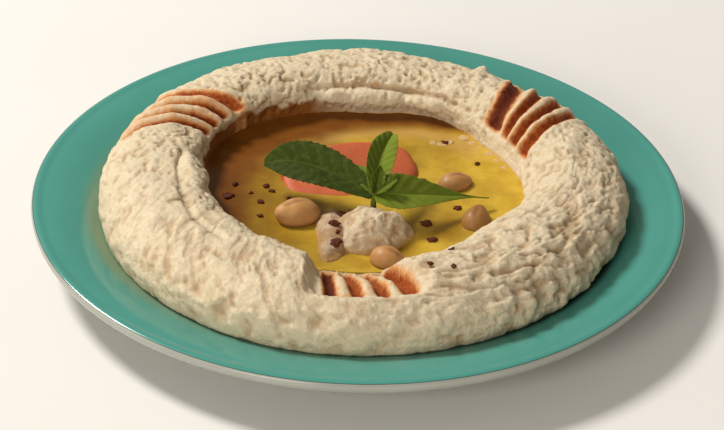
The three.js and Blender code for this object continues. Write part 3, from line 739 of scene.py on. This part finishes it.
def hummus_material():
    graph = Graph("hummus")
    cream = graph.mix(graph.noise(16, 3), HUMMUS_DEEP, HUMMUS_LIGHT)
    grain = graph.ramp(graph.noise(1.7, 3, 0.6), 0.35, 0.7)
    cream = graph.mix(grain, cream, HUMMUS_GRAIN, most=0.3)
    # Painted shade: browner in the hollows of the relief
    cream = graph.mix(graph.attribute("painted_hollow_shade"), cream, HOLLOW_SHADE_HUMMUS, most=0.5)
    cream = graph.mix(graph.attribute("wet"), cream, OILY_HUMMUS)
    # Brown oil stain together with painted shade, strongest on the far left inner wall under the lip
    cream = graph.mix(graph.attribute("stain_and_shade"), cream, STAINED_AND_SHADED_HUMMUS)
    dust = graph.math("ADD", graph.attribute("paprika"), graph.patches(-0.1, 0.1, 2.2, 3, 0.6))
    speck = graph.ramp(graph.noise(1.4, 3, 0.6), 0.35, 0.65)
    red = graph.mix(speck, PAPRIKA, DEEP_PAPRIKA)
    # Painted shade darkens the paprika in the grooves
    red = graph.mix(graph.attribute("groove_shade"), red, SHADED_PAPRIKA)
    cream = graph.mix(graph.ramp(dust, 0.12, 0.5), cream, PALE_PAPRIKA)
    graph.set(Base_Color=graph.mix(graph.ramp(dust, 0.38, 0.8), cream, red))
    graph.set(Roughness=graph.patches(0.6, 0.8, 4, 3))
    graph.set(Specular_IOR_Level=0.18, Subsurface_Weight=0.1, Subsurface_Scale=2 * MM)
    graph.set(Subsurface_Radius=(1.0, 0.7, 0.4))
    graph.bump(graph.noise(1.3, 4, 0.7), 0.6, 1.0)
    return graph.material


def ring_foot(skin, columns, rows):
    """Rows of points from the widest line of the skin down to the plate, drawn in as they sink."""
    edge = skin[-1]
    drawn_in = FOOT_UNDERCUT + swell(columns, DEEPER_UNDERCUT)
    radius = np.hypot(edge[:, 0], edge[:, 1])
    turn = np.arctan2(edge[:, 1], edge[:, 0])
    seat = plate_top(radius - drawn_in) + GAP
    below = []
    for share in np.linspace(0, 1, rows + 1)[1:]:
        below.append(ring_at(radius - drawn_in * share ** 1.5, lerp(edge[:, 2], seat, share), turn))
    return np.array(below)


def build_ring(material):
    columns = np.arange(RING_COLUMNS) * 360 / RING_COLUMNS
    theta, phi = np.meshgrid(columns, even_phi(RING_ROWS))
    skin, paprika, groove_shade = ring_skin(theta, phi)
    below = ring_foot(skin, columns, FOOT_ROWS)
    skin = np.concatenate([skin, below])
    zero = np.zeros(below.shape[:2])
    phi, paprika, groove_shade = (np.concatenate([values, zero]) for values in (phi, paprika, groove_shade))
    theta = np.concatenate([theta, theta[:FOOT_ROWS]])
    relief = curds(skin, theta, phi) * (1 - 0.6 * smoothstep(172, 180, phi))
    # The deeper the hollow in the relief, the more painted shade
    painted_hollow_shade = smoothstep(0, 1.1, -relief)
    calm = np.ones(len(skin))
    calm[-FOOT_ROWS - 6:] = np.linspace(1, 0.35, FOOT_ROWS + 6)
    skin = skin + grid_normals(skin) * (relief * calm[:, None])[..., None]
    seat = plate_top(np.hypot(skin[..., 0], skin[..., 1])) + GAP
    skin[..., 2] = np.maximum(skin[..., 2], seat)
    above = skin[..., 2] - OIL_LEVEL
    x, y = skin[..., 0], skin[..., 1]
    inner = smoothstep(120, 140, phi)
    wet = 0.6 * fall(*WET_FADES, above) * inner
    ragged = above + 2.2 * rough(x, y, 0 * x, 4)
    # Oil stain and painted shade on the far left inner wall, fading up the wall
    stain_and_shade = np.clip(swell(theta, STAINED_AND_SHADED_WALL), 0, 1) * fall(*STAIN_AND_SHADE_FADES, ragged) * inner
    for dust_x, dust_y, radius, strength in DUST:
        paprika = np.maximum(paprika, strength * bump(np.hypot(x - dust_x, y - dust_y), radius))

    turn = np.radians(columns)
    pool_floor = ring_at(pool_radius(columns) - POOL_FLOOR_INSET, POOL_FLOOR, turn)
    seats = [ring_at(radius, plate_top(radius) + GAP, turn) for radius in HIDDEN_SEATS]
    rings = np.concatenate([[pool_floor], skin, seats])
    points, faces = closed_rings((0, 0, POOL_FLOOR), rings, (0, 0, WELL_FLOOR + GAP))

    def padded(values):
        """Adds the rows of points that aren't on the skin, which carry nothing."""
        row = np.zeros(RING_COLUMNS)
        return np.concatenate([row, np.ravel(values), np.tile(row, len(seats)), [0, 0]])

    attributes = {"paprika": padded(paprika), "groove_shade": padded(groove_shade), "wet": padded(wet)}
    attributes.update({"stain_and_shade": padded(stain_and_shade), "painted_hollow_shade": padded(painted_hollow_shade)})
    add_piece("hummus_ring", points, faces, "hummus", attributes, material)


# The oil

def oil_material():
    graph = Graph("oil")
    cloud = graph.ramp(graph.noise(9, 4, 0.6), 0.3, 0.7)
    lit_oil = graph.mix(cloud, srgb(208, 172, 58), srgb(184, 146, 44))
    oil_shade = graph.mix(cloud, srgb(130, 90, 22), srgb(110, 72, 16))
    brown = graph.mix(cloud, srgb(122, 72, 22), srgb(108, 62, 18))
    # Painted shade: the lit oil turns darker where the wall, the dollop and the leaves would shade it
    colour = graph.mix(graph.attribute("oil_shade"), lit_oil, oil_shade)
    colour = graph.mix(graph.attribute("creamy"), colour, srgb(196, 152, 94))
    # Brown near the shore: paprika tint together with painted shade from the wall
    graph.set(Base_Color=graph.mix(graph.attribute("paprika_tint_and_shade"), colour, brown))
    graph.set(Roughness=0.2, Specular_IOR_Level=0.2, IOR=1.47)
    graph.bump(graph.noise(11, 2), 0.12, 0.4)
    return graph.material


def oil_colours(x, y, theta, radius):
    """How much painted shade the oil has at a place, how creamy it looks, and how brown with paprika tint and
    painted shade.
    """
    # Painted shade, darker towards the left and in the listed patches
    oil_shade = smoothstep(8, -50, x)
    for patch_x, patch_y, reach, strength in OIL_SHADE_PATCHES:
        oil_shade = np.maximum(oil_shade, strength * bump(np.hypot(x - patch_x, y - patch_y), reach))
    brown_edge, shelf_middle = (np.interp(theta, *zip(*line)) for line in (BROWN_OIL, CREAMY_OIL))
    # Paprika tint and painted shade along the brown edge by the shore
    paprika_tint_and_shade = smoothstep(-8, 1, radius - brown_edge + 1.5 * lumps(x, y, 0 * x, 7))
    shelf = bump(radius - shelf_middle, 7) * smoothstep(25, 45, theta) * fall(105, 125, theta)
    return oil_shade, 0.5 * shelf, paprika_tint_and_shade


def build_oil():
    columns = np.arange(360.0)
    turn = np.radians(columns)
    shore = pool_radius(columns)
    rings, colours = [], []
    for share in np.concatenate([np.linspace(0.03, 0.9, 40), np.linspace(0.915, 1, 12)]):
        radius = (shore + UNDER_RING) * share
        rise = SHORE_RISE * np.exp(-np.maximum(0, shore - radius) / SHORE_REACH)
        rings.append(ring_at(radius, OIL_LEVEL + rise, turn))
        colours.append(oil_colours(*rings[-1][:, :2].T, columns, radius))
    rings.append(ring_at(shore - UNDER_RING, POOL_FLOOR + GAP, turn))
    points, faces = closed_rings((0, 0, OIL_LEVEL), rings, (0, 0, POOL_FLOOR + GAP))
    attributes = {}
    for name, values in zip(("oil_shade", "creamy", "paprika_tint_and_shade"), np.array(colours).transpose(1, 0, 2)):
        attributes[name] = np.concatenate([values.ravel(), values[-1], [values[0].mean()] * 2])
    add_piece("oil_pool", points, faces, "oil", attributes, oil_material())


# The dollop

def mound(place):
    """Rings of a mound with an uneven outline, as in the part."""
    theta = even_turn(MOUND_COLUMNS)
    lobes = 1 + 0.09 * np.sin(3 * theta + math.radians(40)) + 0.05 * np.sin(5 * theta)
    rings = []
    for u in np.linspace(0.03, 1, MOUND_ROWS):
        x = place["x"] + place["half_x"] * lobes * u * np.cos(theta)
        y = place["y"] + place["half_y"] * lobes * u * np.sin(theta)
        uneven = place["rough"] * lumps(x, y, 0 * x, 4.5) * (1 - u ** 4)
        rise = (1 - u ** place["round"]) * (place["top"] - OIL_LEVEL)
        rings.append(np.stack([x, y, OIL_LEVEL + rise + uneven], -1))
    return np.array(rings)


def build_mound(name, place, material):
    rings = mound(place)
    x, y, z = np.moveaxis(rings, -1, 0)
    fine = rough(x, y, z, 2.4) + 1.2 * np.abs(rough(x + 13, y, z, 4.5)) - 0.6
    fade = fall(0.9, 1, np.linspace(0, 1, MOUND_ROWS)[:, None])
    rings = rings + grid_normals(rings) * (place["relief"] * fine * fade)[..., None]
    foot = rings[-1].copy()
    foot[:, 2] = POOL_FLOOR + GAP
    rings = np.concatenate([rings, [foot]])
    top = rings[0].mean(axis=0)
    points, faces = closed_rings(top, rings, (place["x"], place["y"], POOL_FLOOR + GAP))
    wet = fall(0.3, 2.2, points[:, 2] - OIL_LEVEL)
    zero = np.zeros(len(points))
    # Painted shade in the dollop's hollows
    painted_hollow_shade = np.concatenate([smoothstep(0.1, 0.9, -fine).ravel(), zero[:MOUND_COLUMNS + 2]])
    attributes = {
        "paprika": zero, "groove_shade": zero, "wet": 0.7 * wet, "stain_and_shade": zero + place["stain_and_shade"], "painted_hollow_shade": painted_hollow_shade,
    }
    add_piece(name, points, faces, "dollop", attributes, material)


# The chickpeas

def chickpea_material():
    graph = Graph("chickpea")
    base = graph.mix(graph.noise(5, 3), srgb(182, 130, 76), srgb(204, 156, 98))
    speck = graph.ramp(graph.noise(0.9, 3, 0.6), 0.55, 0.75)
    base = graph.mix(speck, base, srgb(150, 98, 56), most=0.3)
    base = graph.mix(graph.attribute("oily"), base, srgb(138, 96, 42))
    graph.set(Base_Color=graph.mix(graph.attribute("furrow"), base, srgb(136, 86, 44), most=0.6))
    graph.set(Roughness=graph.patches(0.42, 0.58, 2), Specular_IOR_Level=0.35)
    graph.set(Subsurface_Weight=0.2, Subsurface_Scale=2 * MM, Subsurface_Radius=(1, 0.6, 0.3))
    graph.bump(graph.noise(1.6, 3, 0.6), 0.12, 0.5)
    return graph.material


def build_chickpea(name, pea, material):
    """An oval pea with a beak and a furrow that runs back from it."""
    lift = np.radians(90 - 180 * np.arange(1, CHICKPEA_ROWS + 1) / (CHICKPEA_ROWS + 1))
    rings = [ring_at(math.cos(a), math.sin(a), even_turn(CHICKPEA_COLUMNS)) for a in lift]
    way, faces = closed_rings((0, 0, 1), rings, (0, 0, -1))
    beak = np.array(BEAK["towards"]) / np.linalg.norm(BEAK["towards"])
    to_beak = np.degrees(np.arccos(np.clip(way @ beak, -1, 1)))
    furrow = smoothstep(*FURROW["starts"], to_beak) * fall(*FURROW["ends"], to_beak)
    furrow *= bump(way[:, 1], FURROW["half_width"])
    size = 1 + BEAK["height"] * bump(to_beak, BEAK["reach"]) - FURROW["depth"] * furrow
    size += 0.012 * lumps(*(way.T * 3 + pea["turn"]), 1)
    half = np.array([pea["length"], pea["width"], pea["width"]]) / 2
    points = way * size[:, None] * half
    rolled = Quaternion((0, 1, 0), -math.radians(pea["roll"]))
    turned = Quaternion((0, 0, 1), math.radians(pea["turn"])) @ rolled
    points = points @ np.array(turned.to_matrix()).T + np.array(pea["at"])
    above = points[:, 2] - OIL_LEVEL
    oily = np.maximum(pea["oily"], fall(*WET_FADES, above))
    add_piece(name + "_fine", points, faces, name, {"furrow": furrow, "oily": oily}, material)


# The tomato

def tomato_material():
    graph = Graph("tomato")
    flesh = graph.mix(graph.noise(8, 3), srgb(194, 92, 52), srgb(204, 108, 62))
    fibre = graph.ramp(graph.noise(1.5, 3, 0.6), 0.4, 0.7)
    flesh = graph.mix(fibre, flesh, srgb(182, 76, 44), most=0.3)
    skin = graph.attribute("skin")
    colour = graph.mix(skin, flesh, srgb(164, 52, 26))
    graph.set(Base_Color=colour, Roughness=graph.ramp(skin, 0, 1, 0.55, 0.3), Specular_IOR_Level=0.3)
    graph.set(Subsurface_Weight=0.25, Subsurface_Scale=3 * MM, Subsurface_Radius=(1, 0.35, 0.2))
    graph.bump(graph.noise(1.2, 3, 0.6), 0.12, 0.5)
    return graph.material


def build_tomato():
    """A wedge that leans towards the eater, with a rounded edge and its left end in the oil."""
    theta = even_turn(TOMATO_COLUMNS)
    tilt = math.radians(TOMATO["turn"])
    pointed = 1 - 0.1 * np.cos(2 * theta) ** 2
    face = np.linspace(0.04, TOMATO_FACE_END, TOMATO_FACE_ROWS)
    steps = [(u, TOMATO_FACE_DROP * (u / TOMATO_FACE_END) ** 4) for u in face] + TOMATO_EDGE
    rings = []
    skin = []
    for u, drop in steps:
        along = TOMATO["half_length"] * pointed * u * np.cos(theta)
        across = TOMATO["half_width"] * u * np.sin(theta)
        x = TOMATO["x"] + along * math.cos(tilt) - across * math.sin(tilt)
        y = TOMATO["y"] + along * math.sin(tilt) + across * math.cos(tilt)
        lean = lerp(TOMATO["near"], TOMATO["far"], 0.5 + 0.5 * across / TOMATO["half_width"])
        lean = lean - TOMATO["sunk"] * smoothstep(-0.1, 1, -along / TOMATO["half_length"])
        soft = 0.25 * rough(x, y, 0 * x, 7) * (1 - u ** 6)
        rings.append(np.stack([x, y, np.maximum(OIL_LEVEL - TOMATO_DIP, lean - drop + soft)], -1))
        skin.append(smoothstep(0.93, 0.99, u) * smoothstep(-0.1, 0.4, np.sin(theta)))
    foot = rings[-1].copy()
    foot[:, 2] = TOMATO["bottom"]
    rings.append(foot)
    skin.append(skin[-1])
    top = np.array(rings[0]).mean(axis=0)
    points, faces = closed_rings(top, rings, (TOMATO["x"], TOMATO["y"], TOMATO["bottom"]))
    values = np.concatenate([np.ravel(skin), [0, 1]])
    add_piece("tomato_fine", points, faces, "tomato_wedge", {"skin": values}, tomato_material())


# The mint

def mint_material():
    graph = Graph("mint")
    cloud = graph.noise(6, 3)
    dark_green = graph.mix(cloud, srgb(24, 36, 4), srgb(38, 50, 8))
    light_green = graph.mix(cloud, srgb(98, 114, 26), srgb(128, 142, 52))
    # The light attribute mixes in the paler green, partly the leaf's tone and partly painted light
    blade = graph.mix(graph.attribute("light"), dark_green, light_green)
    crinkle = graph.ramp(graph.noise(2.2, 4, 0.7), 0.45, 0.7, 0, 0.2)
    blade = graph.mix(crinkle, blade, srgb(106, 124, 56))
    blade = graph.mix(graph.attribute("vein"), blade, srgb(104, 122, 46), most=0.12)
    graph.set(Base_Color=blade, Roughness=graph.patches(0.58, 0.74, 3), Specular_IOR_Level=0.06)
    graph.set(Subsurface_Weight=0.12, Subsurface_Scale=0.8 * MM, Subsurface_Radius=(0.4, 1, 0.2))
    graph.bump(graph.noise(0.8, 3, 0.6), 0.15, 0.6)
    return graph.material


def curve_frame(rib, t, roll):
    """The point, sideways and upward directions of a leaf at share t of its rib."""
    a, b, c = (np.array(p, float) for p in rib)
    point = (1 - t) ** 2 * a + 2 * t * (1 - t) * b + t * t * c
    ahead = 2 * (1 - t) * (b - a) + 2 * t * (c - b)
    ahead /= np.linalg.norm(ahead)
    flat = np.cross([0, 0, 1], ahead)
    flat /= np.linalg.norm(flat)
    up = np.cross(ahead, flat)
    turn = math.radians(roll)
    flat, up = math.cos(turn) * flat + math.sin(turn) * up, math.cos(turn) * up - math.sin(turn) * flat
    return point, flat, up


def leaf_blade(leaf, side):
    """One face of a leaf, side 1 the upper and -1 the lower, with its veins in relief."""
    points = np.zeros((LEAF_ROWS, LEAF_COLUMNS, 3))
    vein = np.zeros((LEAF_ROWS, LEAF_COLUMNS))
    across = np.linspace(-1, 1, LEAF_COLUMNS)
    reach = np.abs(across)
    rib_line = bump(across, 0.09)
    fold = math.radians(leaf["fold"])
    for i, t in enumerate(np.linspace(0, 1, LEAF_ROWS)):
        point, flat, up = curve_frame(leaf["rib"], t, leaf["roll"])
        tooth = 1 - TOOTH_DEPTH * ((t * leaf["veins"] * 2) % 1)
        outline = math.sin(math.pi * (0.06 + 0.9 * t) ** leaf["lead"]) ** leaf["taper"]
        half = leaf["half_width"] * outline * lerp(1, tooth, reach ** 4)
        from_vein = (t * leaf["veins"] - VEIN_SLANT * reach) % 1 - 0.5
        line = bump(from_vein, 0.2) * smoothstep(0.03, 0.15, reach) * fall(0.75, 1, reach)
        vein[i] = np.maximum(line * 0.7, rib_line)
        quilt = QUILT_HEIGHT * (1 - bump(from_vein, 0.5)) * smoothstep(0.05, 0.3, reach) * outline
        wave = LEAF_WAVE * np.sin(9 * t + 2 * across + leaf["roll"]) * reach
        lift = reach * half * math.sin(fold) + wave + side * LEAF_THICKNESS / 2 + quilt - RIB_DEPTH * rib_line
        out = across * half * math.cos(fold)
        points[i] = point + out[:, None] * flat + lift[:, None] * up
    return points, vein


def build_leaf(name, leaf, material):
    upper, vein = leaf_blade(leaf, 1)
    lower, _ = leaf_blade(leaf, -1)
    across = np.linspace(-1, 1, LEAF_COLUMNS)
    thin = lerp(0.8, 0.15, np.abs(across) ** 6)[None, :, None]
    middle = (upper + lower) / 2
    upper, lower = (middle + (blade - middle) * thin for blade in (upper, lower))
    rows, columns = LEAF_ROWS, LEAF_COLUMNS
    count = rows * columns
    top = grid_faces(rows, columns)
    faces = [list(f) for f in np.concatenate([top, top[:, ::-1] + count])]
    rim = [i * columns for i in range(rows)]
    rim += [(rows - 1) * columns + j for j in range(1, columns)]
    rim += [i * columns + columns - 1 for i in range(rows - 2, -1, -1)]
    rim += list(range(columns - 2, 0, -1))
    for a, b in zip(rim, rim[1:] + rim[:1]):
        faces.append([b, a, a + count, b + count])
    points = np.concatenate([upper.reshape(-1, 3), lower.reshape(-1, 3)])
    # Painted shade: one half of each blade gets less of the paler green, and the undersides get 0.9 of it
    light = leaf["light"] * np.tile(np.where(across > 0, 0.7, 1.0), rows)
    attributes = {"vein": np.tile(vein.ravel(), 2), "light": np.concatenate([light, np.full(count, 0.9)])}
    add_piece(name, points, faces, "mint_sprig", attributes, material)


def build_stem(material):
    foot = np.array([STEM["x"], STEM["y"], STEM["bottom"]])
    height = STEM["top"] - STEM["bottom"]
    rings = []
    for t in np.linspace(1, 0, STEM_ROWS):
        rings.append(foot + ring_at(STEM["radius"] * (1 - 0.45 * t), height * t, even_turn(STEM_COLUMNS)))
    points, faces = closed_rings(foot + [0, 0, height + 0.2], rings, foot)
    zero = np.zeros(len(points))
    add_piece("mint_stem", points, faces, "mint_sprig", {"vein": zero, "light": zero + 0.7}, material)


def build_mint():
    material = mint_material()
    build_stem(material)
    for i, leaf in enumerate(LEAVES):
        build_leaf(f"mint_leaf_{i + 1}", leaf, material)


# The pepper flakes and the crumbs

def flake_material():
    graph = Graph("pepper_flakes")
    speck = graph.ramp(graph.noise(1.4, 3, 0.6), 0.35, 0.65)
    graph.set(Base_Color=graph.mix(speck, srgb(66, 24, 4), srgb(98, 44, 12)))
    graph.set(Roughness=graph.patches(0.5, 0.7, 1), Specular_IOR_Level=0.2)
    graph.bump(graph.noise(0.6, 2), 0.2, 0.6)
    return graph.material


def flake(place, radius, up, seed):
    """Points and faces of one chip with an uneven outline, lying in the plane across up."""
    theta = even_turn(FLAKE_COLUMNS)
    reach = radius * (0.85 + 0.3 * lumps(2 * np.cos(theta) + seed * 7, 2 * np.sin(theta), 0 * theta, 1))
    turn = Vector((0, 0, 1)).rotation_difference(Vector(up).normalized())
    rings = []
    for share, height in FLAKE_SECTION:
        x, y = reach * share * np.cos(theta), reach * share * np.sin(theta)
        z = height * FLAKE_THICKNESS + 0.25 * lumps(x + seed * 5, y, 0 * x, 1.2)
        rings.append([turn @ Vector(p) + Vector(place) for p in zip(x, y, z)])
    top = turn @ Vector((0, 0, 0.5 * FLAKE_THICKNESS)) + Vector(place)
    bottom = turn @ Vector((0, 0, -0.5 * FLAKE_THICKNESS)) + Vector(place)
    return closed_rings(top, rings, bottom)


def build_flakes(name, chips, replaced, material, attributes=None):
    """One piece of all the flakes that lie on the same food."""
    points, faces = [], []
    for place, radius, up, seed in chips:
        more, sides = flake(place, radius, up, seed)
        faces.extend([[v + len(points) for v in side] for side in sides])
        points.extend(more.tolist())
    values = {key: np.full(len(points), value) for key, value in (attributes or {}).items()}
    add_piece(name, points, faces, replaced, values, material)


def build_crumbs(material):
    """Crumbs of hummus in the oil near the far right shore."""
    level = OIL_LEVEL - CRUMB_SINK
    crumbs = [((x, y, level), r, (0, 0, 1), 50 + i) for i, (x, y, r) in enumerate(CRUMBS)]
    build_flakes("hummus_crumbs", crumbs, "oil", material, {"wet": 0.7, "stain_and_shade": 0.05})


def build_all_flakes():
    material = flake_material()
    on_oil = [((x, y, OIL_LEVEL + FLAKE_LIFT), r, (0, 0, 1), i) for i, (x, y, r) in enumerate(OIL_FLAKES)]
    build_flakes("flakes_on_oil", on_oil, "oil", material)
    on_dollop = []
    for i, (x, y, r) in enumerate(DOLLOP_FLAKES):
        along = (x - DOLLOP_RIDGE["x"]) / DOLLOP_RIDGE["half_x"]
        u = math.hypot(along, (y - DOLLOP_RIDGE["y"]) / DOLLOP_RIDGE["half_y"])
        rise = (1 - u ** DOLLOP_RIDGE["round"]) * (DOLLOP_RIDGE["top"] - OIL_LEVEL)
        on_dollop.append(((x, y, OIL_LEVEL + rise + FLAKE_LIFT), r, (-0.3 * along, -0.3, 1), 20 + i))
    build_flakes("flakes_on_dollop", on_dollop, "dollop", material)
    on_ring = []
    for i, (theta, phi, r) in enumerate(RING_FLAKES):
        place = ring_skin(np.array([float(theta)]), np.array([float(phi)]))[0][0]
        middle = ring_at(crest_radius(theta), OIL_LEVEL, math.radians(theta))
        on_ring.append((place, r, place - middle, 30 + i))
    build_flakes("flakes_on_ring", on_ring, "hummus", material)


# The studio

def build_floor():
    bpy.ops.mesh.primitive_plane_add(size=FLOOR_SIZE * MM, location=(0, 0, FLOOR_LEVEL * MM))
    floor = bpy.context.object
    floor.name = "floor"
    graph = Graph("floor")
    pale = graph.mix(graph.noise(90, 2), srgb(226, 224, 219), srgb(232, 230, 226))
    graph.set(Base_Color=pale, Roughness=0.8)
    floor.data.materials.append(graph.material)


def add_light(name, place, size, power, colour):
    data = bpy.data.lights.new(name, "AREA")
    data.shape = "DISK"
    data.size = size * MM
    data.energy = power
    data.color = colour
    light = bpy.data.objects.new(name, data)
    bpy.context.scene.collection.objects.link(light)
    light.location = Vector(place) * MM
    light.rotation_mode = "QUATERNION"
    light.rotation_quaternion = (Vector(LIGHT_AIM) - Vector(place)).to_track_quat("-Z", "Y")


def build_lights():
    world = bpy.data.worlds.new("studio")
    bpy.context.scene.world = world
    world.use_nodes = True
    background = world.node_tree.nodes["Background"]
    background.inputs["Color"].default_value = WORLD_COLOUR
    background.inputs["Strength"].default_value = WORLD_STRENGTH
    for name, light in LIGHTS.items():
        add_light(name, **light)


def build_camera():
    data = bpy.data.cameras.new("camera")
    camera = bpy.data.objects.new("camera", data)
    bpy.context.scene.collection.objects.link(camera)
    place = Vector(CAMERA_PLACE) * MM
    aim = Vector(CAMERA_AIM) * MM
    camera.location = place
    camera.rotation_mode = "QUATERNION"
    roll = Quaternion((0, 0, 1), math.radians(CAMERA_ROLL))
    camera.rotation_quaternion = (aim - place).to_track_quat("-Z", "Y") @ roll
    data.sensor_fit = "HORIZONTAL"
    data.sensor_width = SENSOR_WIDTH
    data.lens = CAMERA_LENS
    data.clip_start, data.clip_end = 0.01, 20
    bpy.context.scene.camera = camera


def build():
    build_plate()
    hummus = hummus_material()
    build_ring(hummus)
    build_mound("dollop_mound", DOLLOP, hummus)
    build_mound("dollop_ridge", DOLLOP_RIDGE, hummus)
    build_oil()
    build_tomato()
    peas = chickpea_material()
    for name, pea in CHICKPEAS.items():
        build_chickpea(name, pea, peas)
    build_mint()
    build_all_flakes()
    build_crumbs(hummus)
    build_floor()
    build_lights()
    build_camera()
    bpy.context.scene.view_settings.view_transform = "Standard"


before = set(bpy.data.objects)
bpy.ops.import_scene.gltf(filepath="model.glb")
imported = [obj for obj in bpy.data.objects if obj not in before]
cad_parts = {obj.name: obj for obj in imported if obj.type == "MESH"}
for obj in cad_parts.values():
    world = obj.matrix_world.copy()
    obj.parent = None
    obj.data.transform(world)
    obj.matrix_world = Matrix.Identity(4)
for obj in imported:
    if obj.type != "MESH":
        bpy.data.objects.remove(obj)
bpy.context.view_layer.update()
build()
bpy.context.view_layer.update()
